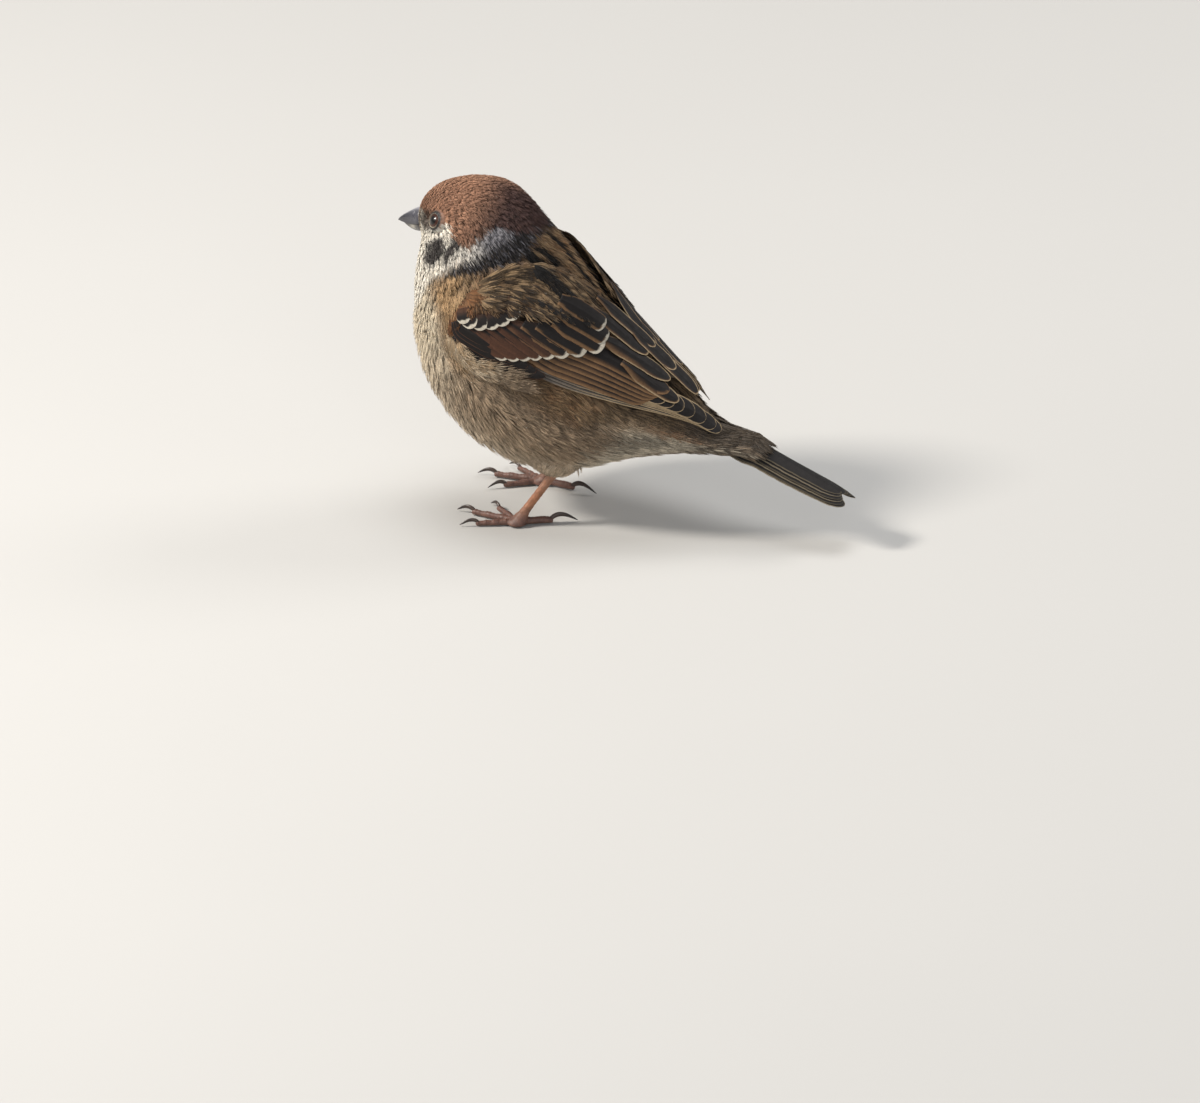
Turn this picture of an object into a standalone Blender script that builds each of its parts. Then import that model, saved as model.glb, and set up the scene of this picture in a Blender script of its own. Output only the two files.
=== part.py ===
"""Eurasian tree sparrow (Passer montanus), a still life-size museum model.

The bird stands on its own two feet with its body sloping and its head turned
a little to its right.  Forward is -Y, the bird's left is +X and up is +Z; the
soles of both feet lie in the plane z = 0.  The plumage outline is one loft
that runs from the base of the bill to the tail coverts.  It is parted by thin
cuts into head, neck, trunk and rump.  Wings, tail, legs, toes, claws, eyes and
bill are pieces of their own, each a gap of 0.3 mm away from its neighbours.

Lengths in this file are millimetres until a mesh is made.
"""
import math

import bmesh
import bpy
import numpy as np

# == geometry ==
GAP = 0.3  # clearance between neighbouring pieces
# The sizes below are laid out from a point between the two feet.  The model's
# own origin is the middle of its outline seen from above, on the floor.
ORIGIN = (0.0, 21.71)

# Body sections from bill to tail: the dorsal point (y, z) and the ventral
# point (y, z) of the section, its half width, the height of its widest line
# as a fraction from ventral to dorsal, and how full its corners are (2 is an
# ellipse).
SECTIONS = {
    "bill_base": (-28.8, 68.4, -27.3, 62.2, 2.9, 0.52, 2.0),
    "forehead": (-27.7, 72.1, -25.2, 59.3, 4.6, 0.50, 2.0),
    "eye": (-23.3, 76.4, -24.4, 55.6, 7.4, 0.44, 2.1),
    "crown": (-15.6, 79.4, -26.6, 51.2, 10.6, 0.45, 2.25),
    "hind_crown": (-7.0, 79.8, -27.0, 47.6, 12.2, 0.47, 2.3),
    "nape": (0.6, 75.8, -27.6, 44.0, 13.7, 0.45, 2.2),
    "upper_mantle": (6.6, 69.2, -27.2, 39.8, 15.6, 0.44, 2.1),
    "shoulder": (11.8, 62.2, -25.6, 34.6, 17.4, 0.44, 2.15),
    "mantle": (17.0, 55.6, -22.6, 28.4, 18.8, 0.45, 2.15),
    "mid_back": (22.4, 49.4, -17.2, 21.4, 19.2, 0.46, 2.15),
    "lower_back": (28.0, 44.0, -9.0, 15.2, 18.8, 0.48, 2.15),
    "flank": (33.6, 38.8, 2.0, 11.6, 17.4, 0.50, 2.1),
    "rump": (39.0, 34.0, 13.8, 12.8, 14.6, 0.52, 2.1),
    "vent": (43.2, 28.8, 25.4, 16.8, 11.0, 0.54, 2.1),
    "tail_coverts": (48.2, 25.4, 37.0, 19.4, 7.8, 0.56, 2.1),
    "coverts_end": (55.2, 23.9, 52.6, 20.0, 5.2, 0.56, 2.1),
}
LAST = len(SECTIONS) - 1

# The head is turned to the bird's right about an upright axis in the neck.
TURN_DEG = 18.0
TURN_AXIS_Y = -9.0
TURN_FROM, TURN_TO = 51.0, 66.0  # where the turn starts and is complete
TURN_PLANE = (-0.47, 0.88)  # direction (y, z) along which the turn builds up


def spline(rows, s):
    """Catmull-Rom curve through rows, read at s = 0 .. len(rows) - 1."""
    rows = np.asarray(rows, float)
    ext = np.vstack([2 * rows[0] - rows[1], rows, 2 * rows[-1] - rows[-2]])
    s = np.clip(np.asarray(s, float), 0, len(rows) - 1)
    i = np.minimum(s.astype(int), len(rows) - 2)
    f = (s - i)[..., None]
    a, b, c, d = ext[i], ext[i + 1], ext[i + 2], ext[i + 3]
    return 0.5 * (
        2 * b
        + (c - a) * f
        + (2 * a - 5 * b + 4 * c - d) * f**2
        + (3 * b - a - 3 * c + d) * f**3
    )


def smoothstep(x):
    x = np.clip(x, 0, 1)
    return x * x * (3 - 2 * x)


def turn_head(p):
    """Turn the points of the head, and less and less of the neck."""
    q = TURN_PLANE[0] * p[..., 1] + TURN_PLANE[1] * p[..., 2]
    w = smoothstep((q - TURN_FROM) / (TURN_TO - TURN_FROM))
    a = -np.radians(TURN_DEG) * w
    x, y = p[..., 0], p[..., 1] - TURN_AXIS_Y
    out = np.array(p, float)
    out[..., 0] = x * np.cos(a) - y * np.sin(a)
    out[..., 1] = x * np.sin(a) + y * np.cos(a) + TURN_AXIS_Y
    return out


def body_straight(u, v):
    """Body surface before the head turns; v runs 0 dorsal, pi/2 left, pi ventral."""
    u, v = np.broadcast_arrays(np.asarray(u, float), np.asarray(v, float))
    row = spline(list(SECTIONS.values()), u)
    top, bot = row[..., 0:2], row[..., 2:4]
    w, m, n = row[..., 4], row[..., 5], row[..., 6]
    mid = bot + m[..., None] * (top - bot)
    c, s = np.cos(v), np.sin(v)
    cc = np.sign(c) * np.abs(c) ** (2 / n)
    ss = np.sign(s) * np.abs(s) ** (2 / n)
    end = np.where((c > 0)[..., None], top - mid, mid - bot)
    yz = mid + cc[..., None] * end
    return np.stack([w * ss, yz[..., 0], yz[..., 1]], -1)


def body(u, v):
    return turn_head(body_straight(u, v))

def grid_normals(p):
    """Unit normals of a grid of points (rows, columns, 3)."""
    n = np.cross(np.gradient(p, axis=0), np.gradient(p, axis=1))
    return n / (np.linalg.norm(n, axis=-1, keepdims=True) + 1e-12)


def body_cloud():
    """Dense points on the body, with their outward normals."""
    u = np.linspace(0, LAST, 150)[:, None]
    v = np.linspace(-np.pi, np.pi, 121)[None, :]
    p = body(u, v)
    n = -grid_normals(p)
    return p[1:-1, 1:-1].reshape(-1, 3), n[1:-1, 1:-1].reshape(-1, 3)


CLOUD, CLOUD_N = body_cloud()


def clear_body(p, gap, hug):
    """Push points out of the body to a gap off its surface; hug (0 to 1) also
    draws in those that float further out."""
    flat = np.array(p, float).reshape(-1, 3)
    hug = np.broadcast_to(hug, np.shape(p)[:-1]).reshape(-1)
    for _ in range(3):
        d2 = ((flat[:, None, :] - CLOUD[None, :, :]) ** 2).sum(-1)
        k = d2.argmin(1)
        off = ((flat - CLOUD[k]) * CLOUD_N[k]).sum(-1)
        move = np.where(off < gap, gap - off, -(off - gap) * hug)
        flat += move[:, None] * CLOUD_N[k]
    return flat.reshape(np.shape(p))


# Wing, left side: the lower edge from the wrist along the breast and flank to
# the tip of the primaries, and the upper edge from the shoulder over the
# scapulars and tertials to the same tip.
WING_LOWER = [
    (16.6, -13.6, 52.0),
    (18.0, -12.4, 47.0),
    (19.2, -5.0, 43.4),
    (19.6, 3.0, 41.4),
    (19.0, 10.0, 39.8),
    (17.4, 19.0, 37.6),
    (14.6, 28.5, 34.6),
    (10.8, 37.5, 31.4),
    (6.6, 43.4, 28.2),
    (4.2, 47.4, 25.8),
]
WING_UPPER = [
    (15.6, -10.4, 57.6),
    (15.2, -5.0, 60.0),
    (13.4, 2.0, 61.0),
    (10.6, 9.0, 59.0),
    (7.4, 16.0, 54.8),
    (4.6, 23.5, 48.8),
    (2.7, 31.0, 42.2),
    (2.0, 38.0, 36.4),
    (1.8, 43.4, 30.8),
    (2.6, 48.0, 26.4),
]
WING_LAST = len(WING_LOWER) - 1
WING_BULGE = 1.0  # camber of the folded wing
WING_STEPS, WING_ROWS = 22, 7


def wing_inner(s, t, side=1):
    """Inner face of a folded wing; s runs from wrist to tip, t from lower to upper edge."""
    s, t = np.broadcast_arrays(np.asarray(s, float), np.asarray(t, float))
    lo = spline(WING_LOWER, s * WING_LAST)
    up = spline(WING_UPPER, s * WING_LAST)
    p = lo + (up - lo) * t[..., None]
    bulge = WING_BULGE * 4 * t * (1 - t) * smoothstep(s / 0.25) * (1 - smoothstep((s - 0.75) / 0.25))
    p = p + bulge[..., None] * np.array([0.8, 0.1, 0.55])
    p[..., 0] *= side
    return clear_body(p, GAP + 0.15, 0.6 * (1 - smoothstep((s - 0.5) / 0.3)))


def wing_thickness(s, t):
    """Coverts and stacked quills in the arm, thin vanes at the tip."""
    along = 1.9 - 1.1 * smoothstep((s - 0.35) / 0.6)
    edge = np.minimum(1, np.sqrt(np.clip(4 * t * (1 - t), 0, 1)) + 0.2)
    edge = edge * (1 - 0.45 * smoothstep((t - 0.5) / 0.5))
    front = smoothstep(s / 0.14) * 0.65 + 0.35
    return np.maximum(0.6, along * edge * front)


# Tail: twelve rectrices folded into one narrow, slightly roofed blade.
TAIL_DROOP = 24.5
TAIL_START = (54.2, 22.1)  # y, z of the centre of its root
TAIL_LENGTH = 26.6
TAIL_HALF_WIDTH = (4.5, 4.9, 5.2, 5.35, 5.1, 3.8)
TAIL_HALF_THICK = (1.2, 1.0, 0.85, 0.7, 0.55, 0.42)
TAIL_STEPS, TAIL_ROWS = 10, 8
TAIL_ROOF = 0.6  # how far the outer feathers hang below the middle pair
TAIL_NOTCH = 2.2  # how much the outer tips stand past the middle of the fork


def tail_frame():
    a = math.radians(TAIL_DROOP)
    along = np.array([0, math.cos(a), -math.sin(a)])
    up = np.array([0, math.sin(a), math.cos(a)])
    return along, up


def tail_surface(f, x, side):
    """Tail blade: f from root 0 to tip 1, x across from -1 to 1, side 1 above or -1 below."""
    f, x = np.broadcast_arrays(np.asarray(f, float), np.asarray(x, float))
    along, up = tail_frame()
    k = f * (len(TAIL_HALF_WIDTH) - 1)
    w = spline(np.array(TAIL_HALF_WIDTH)[:, None], k)[..., 0]
    h = spline(np.array(TAIL_HALF_THICK)[:, None], k)[..., 0]
    fork = TAIL_NOTCH * (np.abs(x) ** 1.3) * smoothstep((f - 0.5) / 0.5)
    length = TAIL_LENGTH - TAIL_NOTCH
    start = np.array([0.0, *TAIL_START])
    p = start + (f * length + fork)[..., None] * along
    lift = side * h * np.sqrt(np.clip(1 - 0.8 * x * x, 0, 1)) - TAIL_ROOF * x * x
    p = p + lift[..., None] * up
    p[..., 0] = x * w
    return p


# Legs: foot centre on the floor, and the ankle inside the belly plumage.
FEET = {"L": (12.4, 1.0), "R": (-12.0, -0.8)}
ANKLE_SHIFT = (-2.4, 10.4, 15.4)  # from foot centre to ankle, for the left leg
TARSUS_LEVELS = [  # height, half width across, half width along, of flat slices
    (0.0, 2.0, 2.1),
    (0.5, 2.5, 2.6),
    (1.3, 2.3, 2.5),
    (2.2, 1.55, 1.9),
    (3.2, 1.1, 1.45),
    (5.0, 0.98, 1.25),
    (7.0, 0.98, 1.25),
]
# Toe: name, bearing in degrees outward from straight ahead, length from the
# foot centre to the root of the claw, half width at the root, claw length.
TOES = {
    "L": [("inner", -44, 9.0, 0.78, 4.2), ("middle", -12, 11.6, 0.84, 4.6),
          ("outer", 22, 9.2, 0.76, 4.2), ("hind", 206, 8.0, 0.95, 6.2)],
    "R": [("inner", -32, 9.0, 0.78, 4.2), ("middle", 2, 11.6, 0.84, 4.6),
          ("outer", 36, 9.2, 0.76, 4.2), ("hind", 190, 8.0, 0.95, 6.2)],
}
TOE_START = 3.25
TOE_STEPS, CLAW_STEPS = 6, 6
CLAW_ARCH = 1.0
TOE_HEIGHT = 1.7


def toe_bearing(side, degrees):
    a = math.radians(degrees)
    sx = 1 if side == "L" else -1
    return np.array([sx * math.sin(a), -math.cos(a), 0.0])


def flat_tube(centres, across, half_w, low, high, sides):
    """Rings with flat undersides: widths across, from low to high, round elsewhere."""
    rings = []
    for c, w, z0, z1 in zip(centres, half_w, low, high):
        mid = z0 + 0.45 * (z1 - z0)
        r = z1 - mid
        ring = []
        for i in range(sides):
            a = 2 * math.pi * i / sides
            z = mid + r * math.cos(a)
            ring.append(np.array([c[0], c[1], max(z, z0)]) + across * w * math.sin(a))
        rings.append(ring)
    return np.array(rings)


def tarsus_rings(side, top, sides=12):
    """Flat slices from the pad on the floor up the slanting shank."""
    sx = 1 if side == "L" else -1
    foot = np.array([*FEET[side], 0.0])
    shift = np.array([sx * ANKLE_SHIFT[0], ANKLE_SHIFT[1], ANKLE_SHIFT[2]])
    rings = []
    levels = [row for row in TARSUS_LEVELS if row[0] < top - 0.2]
    levels.append((top, TARSUS_LEVELS[-1][1], TARSUS_LEVELS[-1][2]))
    for z, wx, wy in levels:
        k = max(0.0, z - 0.8) / ANKLE_SHIFT[2]
        c = foot + shift * k
        a = 2 * np.pi * np.arange(sides) / sides
        rings.append(np.stack([c[0] + wx * np.cos(a), c[1] + wy * np.sin(a), np.full(sides, z)], -1))
    return np.array(rings)


def shank_point(side, z):
    sx = 1 if side == "L" else -1
    k = (z - 0.8) / ANKLE_SHIFT[2]
    return np.array([FEET[side][0] + sx * ANKLE_SHIFT[0] * k, FEET[side][1] + ANKLE_SHIFT[1] * k, z])


# Feathered thigh: an egg that swells out of the belly round the shank.
TARSUS_TOP = 11.6
THIGH_CENTRE_Z = 17.2
THIGH_SIZE = (4.6, 7.0, 5.0)  # half axes across, along and up
THIGH_PITCH = 14.0  # its rear end is lower


def thigh_rings(side, grow=0.0, rows=8, sides=12):
    c = shank_point(side, THIGH_CENTRE_Z) + np.array([0, -3.4, 0.0])
    a, b, h = (x + grow for x in THIGH_SIZE)
    p = math.radians(-THIGH_PITCH)
    rings = []
    for i in range(rows):
        f = math.pi * (i + 0.6) / (rows + 0.2)
        y, r = -math.cos(f) * b, math.sin(f)
        ring = []
        for j in range(sides):
            g = 2 * math.pi * j / sides
            x, z = a * r * math.sin(g), h * r * math.cos(g)
            ring.append(c + np.array([x, y * math.cos(p) - z * math.sin(p), y * math.sin(p) + z * math.cos(p)]))
        rings.append(ring)
    return np.array(rings)


# Bill: a short stout cone, upper half with a curved ridge and a cutting edge.
BILL_ROOT = np.array([0.0, -28.5, 65.3])
BILL_TIP = np.array([0.0, -36.1, 63.95])
BILL_STEPS = 8
BILL_HALF_WIDTH = 2.9
BILL_UP, BILL_DOWN = 3.4, 2.2  # depth above and below the cutting edge at the root


def bill_rings(upper, steps=BILL_STEPS, sides=12):
    """Rings of one half of the bill, before the head turns."""
    axis = BILL_TIP - BILL_ROOT
    length = np.linalg.norm(axis)
    along = axis / length
    up = np.array([0.0, -along[2], along[1]])
    up = up if up[2] > 0 else -up
    reach = length if upper else length - 0.9
    rings = []
    for i in range(steps + 1):
        f = i / steps
        d = GAP + f * (reach - GAP)
        w = BILL_HALF_WIDTH * (1 - f) ** 0.72 * (1 - 0.12 * f) + 0.12
        depth = (BILL_UP if upper else BILL_DOWN) * (1 - f ** 1.7) ** (0.95 if upper else 1.0) + 0.10
        edge = -0.35 * math.sin(math.pi * min(1, f * 1.1)) - (0.25 * f ** 3 if upper else 0)
        ring = []
        for j in range(sides):
            g = 2 * math.pi * j / sides
            x, h = math.sin(g), math.cos(g)
            if upper:
                y = h * depth if h > 0 else h * 0.10
                y += GAP / 2 + 0.1
            else:
                y = h * depth if h < 0 else h * 0.10
                y -= GAP / 2 + 0.1
            ring.append(BILL_ROOT + along * d + up * (y + edge) + np.array([w * x, 0, 0]))
        rings.append(ring)
    return turn_head(np.array(rings))


# Eye: a ball set back in the head so that only its front shows.
EYE_PLACE = (3.14, 65.0)  # on the body surface: section number and degrees
EYE_RADIUS = 2.7
EYE_STANDS_OUT = 0.8
EYE_SLICES, EYE_ROWS = 14, 8


def eye_centre(side):
    """Centre of the eyeball, and the direction in which the eye looks."""
    u, v, h = EYE_PLACE[0], math.radians(EYE_PLACE[1]), 0.02
    p = body_straight(u, v)
    n = np.cross(
        body_straight(u, v + h) - body_straight(u, v - h),
        body_straight(u + h, v) - body_straight(u - h, v),
    )
    n = n / np.linalg.norm(n)
    n = n if n[0] > 0 else -n
    c = p - n * (EYE_RADIUS - EYE_STANDS_OUT)
    mirror = np.array([1 if side == "L" else -1, 1, 1])
    return turn_head(c * mirror), turn_head((c + n) * mirror) - turn_head(c * mirror)
# == end geometry ==


# Steps of the body grid per section, and round it.
BODY_STEPS, BODY_SIDES = 3.0, 32
# Where thin cuts part the body, as section numbers.
CUTS = {"head": (0.0, 4.45), "neck": (4.45, 6.4), "trunk": (6.4, 12.3), "rump": (12.3, LAST)}


def material(name, colour, roughness, metallic=0.0):
    m = bpy.data.materials.new(name)
    m.use_nodes = True
    b = m.node_tree.nodes["Principled BSDF"]
    b.inputs["Base Color"].default_value = (*colour, 1)
    b.inputs["Roughness"].default_value = roughness
    b.inputs["Metallic"].default_value = metallic
    m.diffuse_color = (*colour, 1)
    return m


def piece(name, verts, faces, colour, roughness=0.8, cutter=False):
    """One closed object from millimetre points; quads and triangles."""
    mesh = bpy.data.meshes.new(name)
    shift = (ORIGIN[0], ORIGIN[1], 0.0)
    mesh.from_pydata([tuple(float(c - o) * 0.001 for c, o in zip(v, shift)) for v in verts], [], faces)
    bm = bmesh.new()
    bm.from_mesh(mesh)
    bmesh.ops.triangulate(bm, faces=bm.faces[:])
    bmesh.ops.recalc_face_normals(bm, faces=bm.faces[:])
    bm.to_mesh(mesh)
    bm.free()
    mesh.shade_smooth()
    mesh.set_sharp_from_angle(angle=math.radians(50))
    mesh.materials.append(material(name + "_finish", colour, roughness))
    obj = bpy.data.objects.new(name, mesh)
    bpy.context.collection.objects.link(obj)
    if cutter:
        obj.hide_render = True
        obj.display_type = "WIRE"
    return obj


def tube(rings, tip=None):
    """Points and faces of a closed tube: rings, a fan over the first, a fan over the last."""
    rings = np.asarray(rings)
    m, n = rings.shape[:2]
    verts = list(rings.reshape(-1, 3))
    faces = []
    for i in range(m - 1):
        for j in range(n):
            a, b = i * n + j, i * n + (j + 1) % n
            faces.append((a, b, b + n, a + n))
    verts.append(rings[0].mean(0))
    verts.append(rings[-1].mean(0) if tip is None else tip)
    for j in range(n):
        faces.append((m * n, (j + 1) % n, j))
        faces.append((m * n + 1, (m - 1) * n + j, (m - 1) * n + (j + 1) % n))
    return verts, faces


def shell(inner, outer):
    """A plate between two grids of points, closed round its rim."""
    m, n = inner.shape[:2]
    verts = list(inner.reshape(-1, 3)) + list(outer.reshape(-1, 3))
    k = m * n
    faces = []
    for i in range(m - 1):
        for j in range(n - 1):
            a, b, c, d = i * n + j, i * n + j + 1, (i + 1) * n + j + 1, (i + 1) * n + j
            faces.append((a, b, c, d))
            faces.append((k + d, k + c, k + b, k + a))
    rim = [i * n for i in range(m)] + [(m - 1) * n + j for j in range(1, n)]
    rim += [i * n + n - 1 for i in range(m - 2, -1, -1)] + [j for j in range(n - 2, 0, -1)]
    for a, b in zip(rim, rim[1:] + rim[:1]):
        faces.append((a, k + a, k + b, b))
    return verts, faces


def body_part(name, colour):
    """One length of the body, drawn back half a gap at each cut."""
    lo, hi = CUTS[name]
    scale = spline(list(SECTIONS.values()), np.array([lo, hi]))
    ends = []
    for u, row, sign in ((lo, scale[0], 1), (hi, scale[1], -1)):
        nxt = spline(list(SECTIONS.values()), np.array([u + sign * 0.05]))[0]
        step = min(math.dist(row[0:2], nxt[0:2]), math.dist(row[2:4], nxt[2:4])) / 0.05
        free = u in (0.0, LAST)
        ends.append(u if free else u + sign * (GAP / 2 + 0.02) / step)
    n = max(4, round((ends[1] - ends[0]) * BODY_STEPS))
    u = np.linspace(ends[0], ends[1], n + 1)[:, None]
    v = np.linspace(0, 2 * np.pi, BODY_SIDES, endpoint=False)[None, :]
    return piece(name, *tube(body(u, v)), colour)


def cut(obj, cutter):
    m = obj.modifiers.new("cut_" + cutter.name, "BOOLEAN")
    m.operation = "DIFFERENCE"
    m.solver = "EXACT"
    m.object = cutter


def ball(centre, radius, slices=EYE_SLICES, rows=EYE_ROWS):
    rings = []
    for i in range(1, rows):
        f = math.pi * i / rows
        rings.append([
            np.array(centre) + radius * np.array([math.sin(f) * math.cos(g), math.sin(f) * math.sin(g), math.cos(f)])
            for g in (2 * math.pi * j / slices for j in range(slices))
        ])
    verts, faces = tube(rings)
    verts[-2] = np.array(centre) + np.array([0, 0, radius])
    verts[-1] = np.array(centre) - np.array([0, 0, radius])
    return verts, faces


for old in list(bpy.data.objects):
    bpy.data.objects.remove(old, do_unlink=True)

CHESTNUT = (0.20, 0.085, 0.045)
CREAM = (0.55, 0.48, 0.38)
BUFF = (0.33, 0.24, 0.15)
BROWN = (0.15, 0.085, 0.045)
DARK = (0.05, 0.042, 0.038)
FLESH = (0.52, 0.27, 0.19)
HORN = (0.045, 0.042, 0.045)

head = body_part("head", CHESTNUT)
body_part("neck", CREAM)
trunk = body_part("trunk", BUFF)
body_part("rump", BUFF)

for side, sx in (("L", 1), ("R", -1)):
    # Eye in its socket.
    centre = eye_centre(side)[0]
    piece("eye_" + side, *ball(centre, EYE_RADIUS), (0.02, 0.012, 0.008), 0.1)
    cut(head, piece("socket_" + side, *ball(centre, EYE_RADIUS + GAP), HORN, cutter=True))

    # Folded wing.
    s = np.linspace(0, 1, WING_STEPS + 1)[:, None]
    t = np.linspace(0, 1, WING_ROWS + 1)[None, :]
    inner = wing_inner(s, t, sx)
    n = grid_normals(inner)
    if n[WING_STEPS // 2, WING_ROWS // 2, 0] * sx < 0:
        n = -n
    outer = inner + n * wing_thickness(s, t)[..., None]
    piece("wing_" + side, *shell(inner, outer), BROWN)

    # Feathered thigh, let into the belly.
    piece("thigh_" + side, *tube(thigh_rings(side)), CREAM)
    cut(trunk, piece("pocket_" + side, *tube(thigh_rings(side, GAP)), CREAM, cutter=True))

    # Shank and foot pad.
    piece("tarsus_" + side, *tube(tarsus_rings(side, TARSUS_TOP)), FLESH, 0.5)

    # Toes lie flat on the floor; each claw arches over and comes down in front.
    for name, bearing, reach, half, claw in TOES[side]:
        d = toe_bearing(side, bearing)
        across = np.array([-d[1], d[0], 0.0])
        c = np.array([*FEET[side], 0.0])
        k = np.linspace(0, 1, TOE_STEPS + 1)
        knuckle = 1 + 0.10 * np.cos(k * 3 * 2 * np.pi)
        width = half * (1 - 0.22 * k) * knuckle
        height = TOE_HEIGHT * (half / 0.84) * (1 - 0.25 * k) * (1 + 0.05 * np.cos(k * 3 * 2 * np.pi))
        run = [c + d * (TOE_START + (reach - GAP - TOE_START) * x) for x in k]
        rings = flat_tube(run, across, width, 0 * k, height, 8)
        piece(f"toe_{name}_{side}", *tube(rings), FLESH, 0.5)
        k = np.linspace(0, 1, CLAW_STEPS + 1)[:-1]
        top = height[-1] * (1.0 - k**1.8) + (CLAW_ARCH * claw / 5) * np.sin(np.pi * k**0.8) + 0.35 * k
        low = np.maximum(0.15, 0.25 + (CLAW_ARCH * 1.15 * claw / 5) * np.sin(np.pi * k**0.9) * (1 - k) ** 0.3)
        low = np.minimum(low, top - 0.42)
        width = width[-1] * 0.80 * (1 - 0.62 * k)
        run = [c + d * (reach + claw * x) for x in k]
        rings = flat_tube(run, across, width, low, top, 8)
        piece(f"claw_{name}_{side}", *tube(rings, tip=c + d * (reach + claw) + np.array([0, 0, 0.2])), HORN, 0.35)

piece("bill_upper", *tube(bill_rings(True)), HORN, 0.35)
piece("bill_lower", *tube(bill_rings(False)), HORN, 0.35)

f = np.linspace(0, 1, TAIL_STEPS + 1)[:, None]
x = np.linspace(-1, 1, TAIL_ROWS + 1)[None, :]
piece("tail", *shell(tail_surface(f, x, -1), tail_surface(f, x, 1)), DARK)
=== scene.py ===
"""Eurasian tree sparrow, life size: skin, plumage, horn, eyes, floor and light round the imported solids.

Lengths are in millimetres, measured from a point on the floor between the
feet: the bird looks along -Y, +X is its left and +Z is up.  to_frame() turns
them into the frame's own metres.
"""

import json
import math

import bmesh
import bpy
import numpy as np
from mathutils import Matrix, Vector, kdtree


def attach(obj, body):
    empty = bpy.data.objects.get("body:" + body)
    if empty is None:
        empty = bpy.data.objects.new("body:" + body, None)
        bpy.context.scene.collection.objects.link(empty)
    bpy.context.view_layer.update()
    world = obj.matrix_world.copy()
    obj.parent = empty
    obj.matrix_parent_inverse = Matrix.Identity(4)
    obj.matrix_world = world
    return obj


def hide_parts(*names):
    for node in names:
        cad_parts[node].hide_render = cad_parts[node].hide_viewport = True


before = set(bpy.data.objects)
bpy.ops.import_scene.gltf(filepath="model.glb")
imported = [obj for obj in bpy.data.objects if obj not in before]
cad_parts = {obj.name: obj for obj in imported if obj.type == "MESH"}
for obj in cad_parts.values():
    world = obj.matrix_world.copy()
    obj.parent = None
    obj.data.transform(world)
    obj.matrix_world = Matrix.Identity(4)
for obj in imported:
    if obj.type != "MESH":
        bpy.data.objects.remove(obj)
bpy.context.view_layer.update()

# ---- shape of the bird, as in the solids
GAP = 0.3  # clearance between neighbouring pieces
# The sizes below are laid out from a point between the two feet.  The model's
# own origin is the middle of its outline seen from above, on the floor.
ORIGIN = (0.0, 21.71)

# Body sections from bill to tail: the dorsal point (y, z) and the ventral
# point (y, z) of the section, its half width, the height of its widest line
# as a fraction from ventral to dorsal, and how full its corners are (2 is an
# ellipse).
SECTIONS = {
    "bill_base": (-28.8, 68.4, -27.3, 62.2, 2.9, 0.52, 2.0),
    "forehead": (-27.7, 72.1, -25.2, 59.3, 4.6, 0.50, 2.0),
    "eye": (-23.3, 76.4, -24.4, 55.6, 7.4, 0.44, 2.1),
    "crown": (-15.6, 79.4, -26.6, 51.2, 10.6, 0.45, 2.25),
    "hind_crown": (-7.0, 79.8, -27.0, 47.6, 12.2, 0.47, 2.3),
    "nape": (0.6, 75.8, -27.6, 44.0, 13.7, 0.45, 2.2),
    "upper_mantle": (6.6, 69.2, -27.2, 39.8, 15.6, 0.44, 2.1),
    "shoulder": (11.8, 62.2, -25.6, 34.6, 17.4, 0.44, 2.15),
    "mantle": (17.0, 55.6, -22.6, 28.4, 18.8, 0.45, 2.15),
    "mid_back": (22.4, 49.4, -17.2, 21.4, 19.2, 0.46, 2.15),
    "lower_back": (28.0, 44.0, -9.0, 15.2, 18.8, 0.48, 2.15),
    "flank": (33.6, 38.8, 2.0, 11.6, 17.4, 0.50, 2.1),
    "rump": (39.0, 34.0, 13.8, 12.8, 14.6, 0.52, 2.1),
    "vent": (43.2, 28.8, 25.4, 16.8, 11.0, 0.54, 2.1),
    "tail_coverts": (48.2, 25.4, 37.0, 19.4, 7.8, 0.56, 2.1),
    "coverts_end": (55.2, 23.9, 52.6, 20.0, 5.2, 0.56, 2.1),
}
LAST = len(SECTIONS) - 1

# The head is turned to the bird's right about an upright axis in the neck.
TURN_DEG = 18.0
TURN_AXIS_Y = -9.0
TURN_FROM, TURN_TO = 51.0, 66.0  # where the turn starts and is complete
TURN_PLANE = (-0.47, 0.88)  # direction (y, z) along which the turn builds up


def spline(rows, s):
    """Catmull-Rom curve through rows, read at s = 0 .. len(rows) - 1."""
    rows = np.asarray(rows, float)
    ext = np.vstack([2 * rows[0] - rows[1], rows, 2 * rows[-1] - rows[-2]])
    s = np.clip(np.asarray(s, float), 0, len(rows) - 1)
    i = np.minimum(s.astype(int), len(rows) - 2)
    f = (s - i)[..., None]
    a, b, c, d = ext[i], ext[i + 1], ext[i + 2], ext[i + 3]
    return 0.5 * (
        2 * b
        + (c - a) * f
        + (2 * a - 5 * b + 4 * c - d) * f**2
        + (3 * b - a - 3 * c + d) * f**3
    )


def smoothstep(x):
    x = np.clip(x, 0, 1)
    return x * x * (3 - 2 * x)


def turn_head(p):
    """Turn the points of the head, and less and less of the neck."""
    q = TURN_PLANE[0] * p[..., 1] + TURN_PLANE[1] * p[..., 2]
    w = smoothstep((q - TURN_FROM) / (TURN_TO - TURN_FROM))
    a = -np.radians(TURN_DEG) * w
    x, y = p[..., 0], p[..., 1] - TURN_AXIS_Y
    out = np.array(p, float)
    out[..., 0] = x * np.cos(a) - y * np.sin(a)
    out[..., 1] = x * np.sin(a) + y * np.cos(a) + TURN_AXIS_Y
    return out


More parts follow.
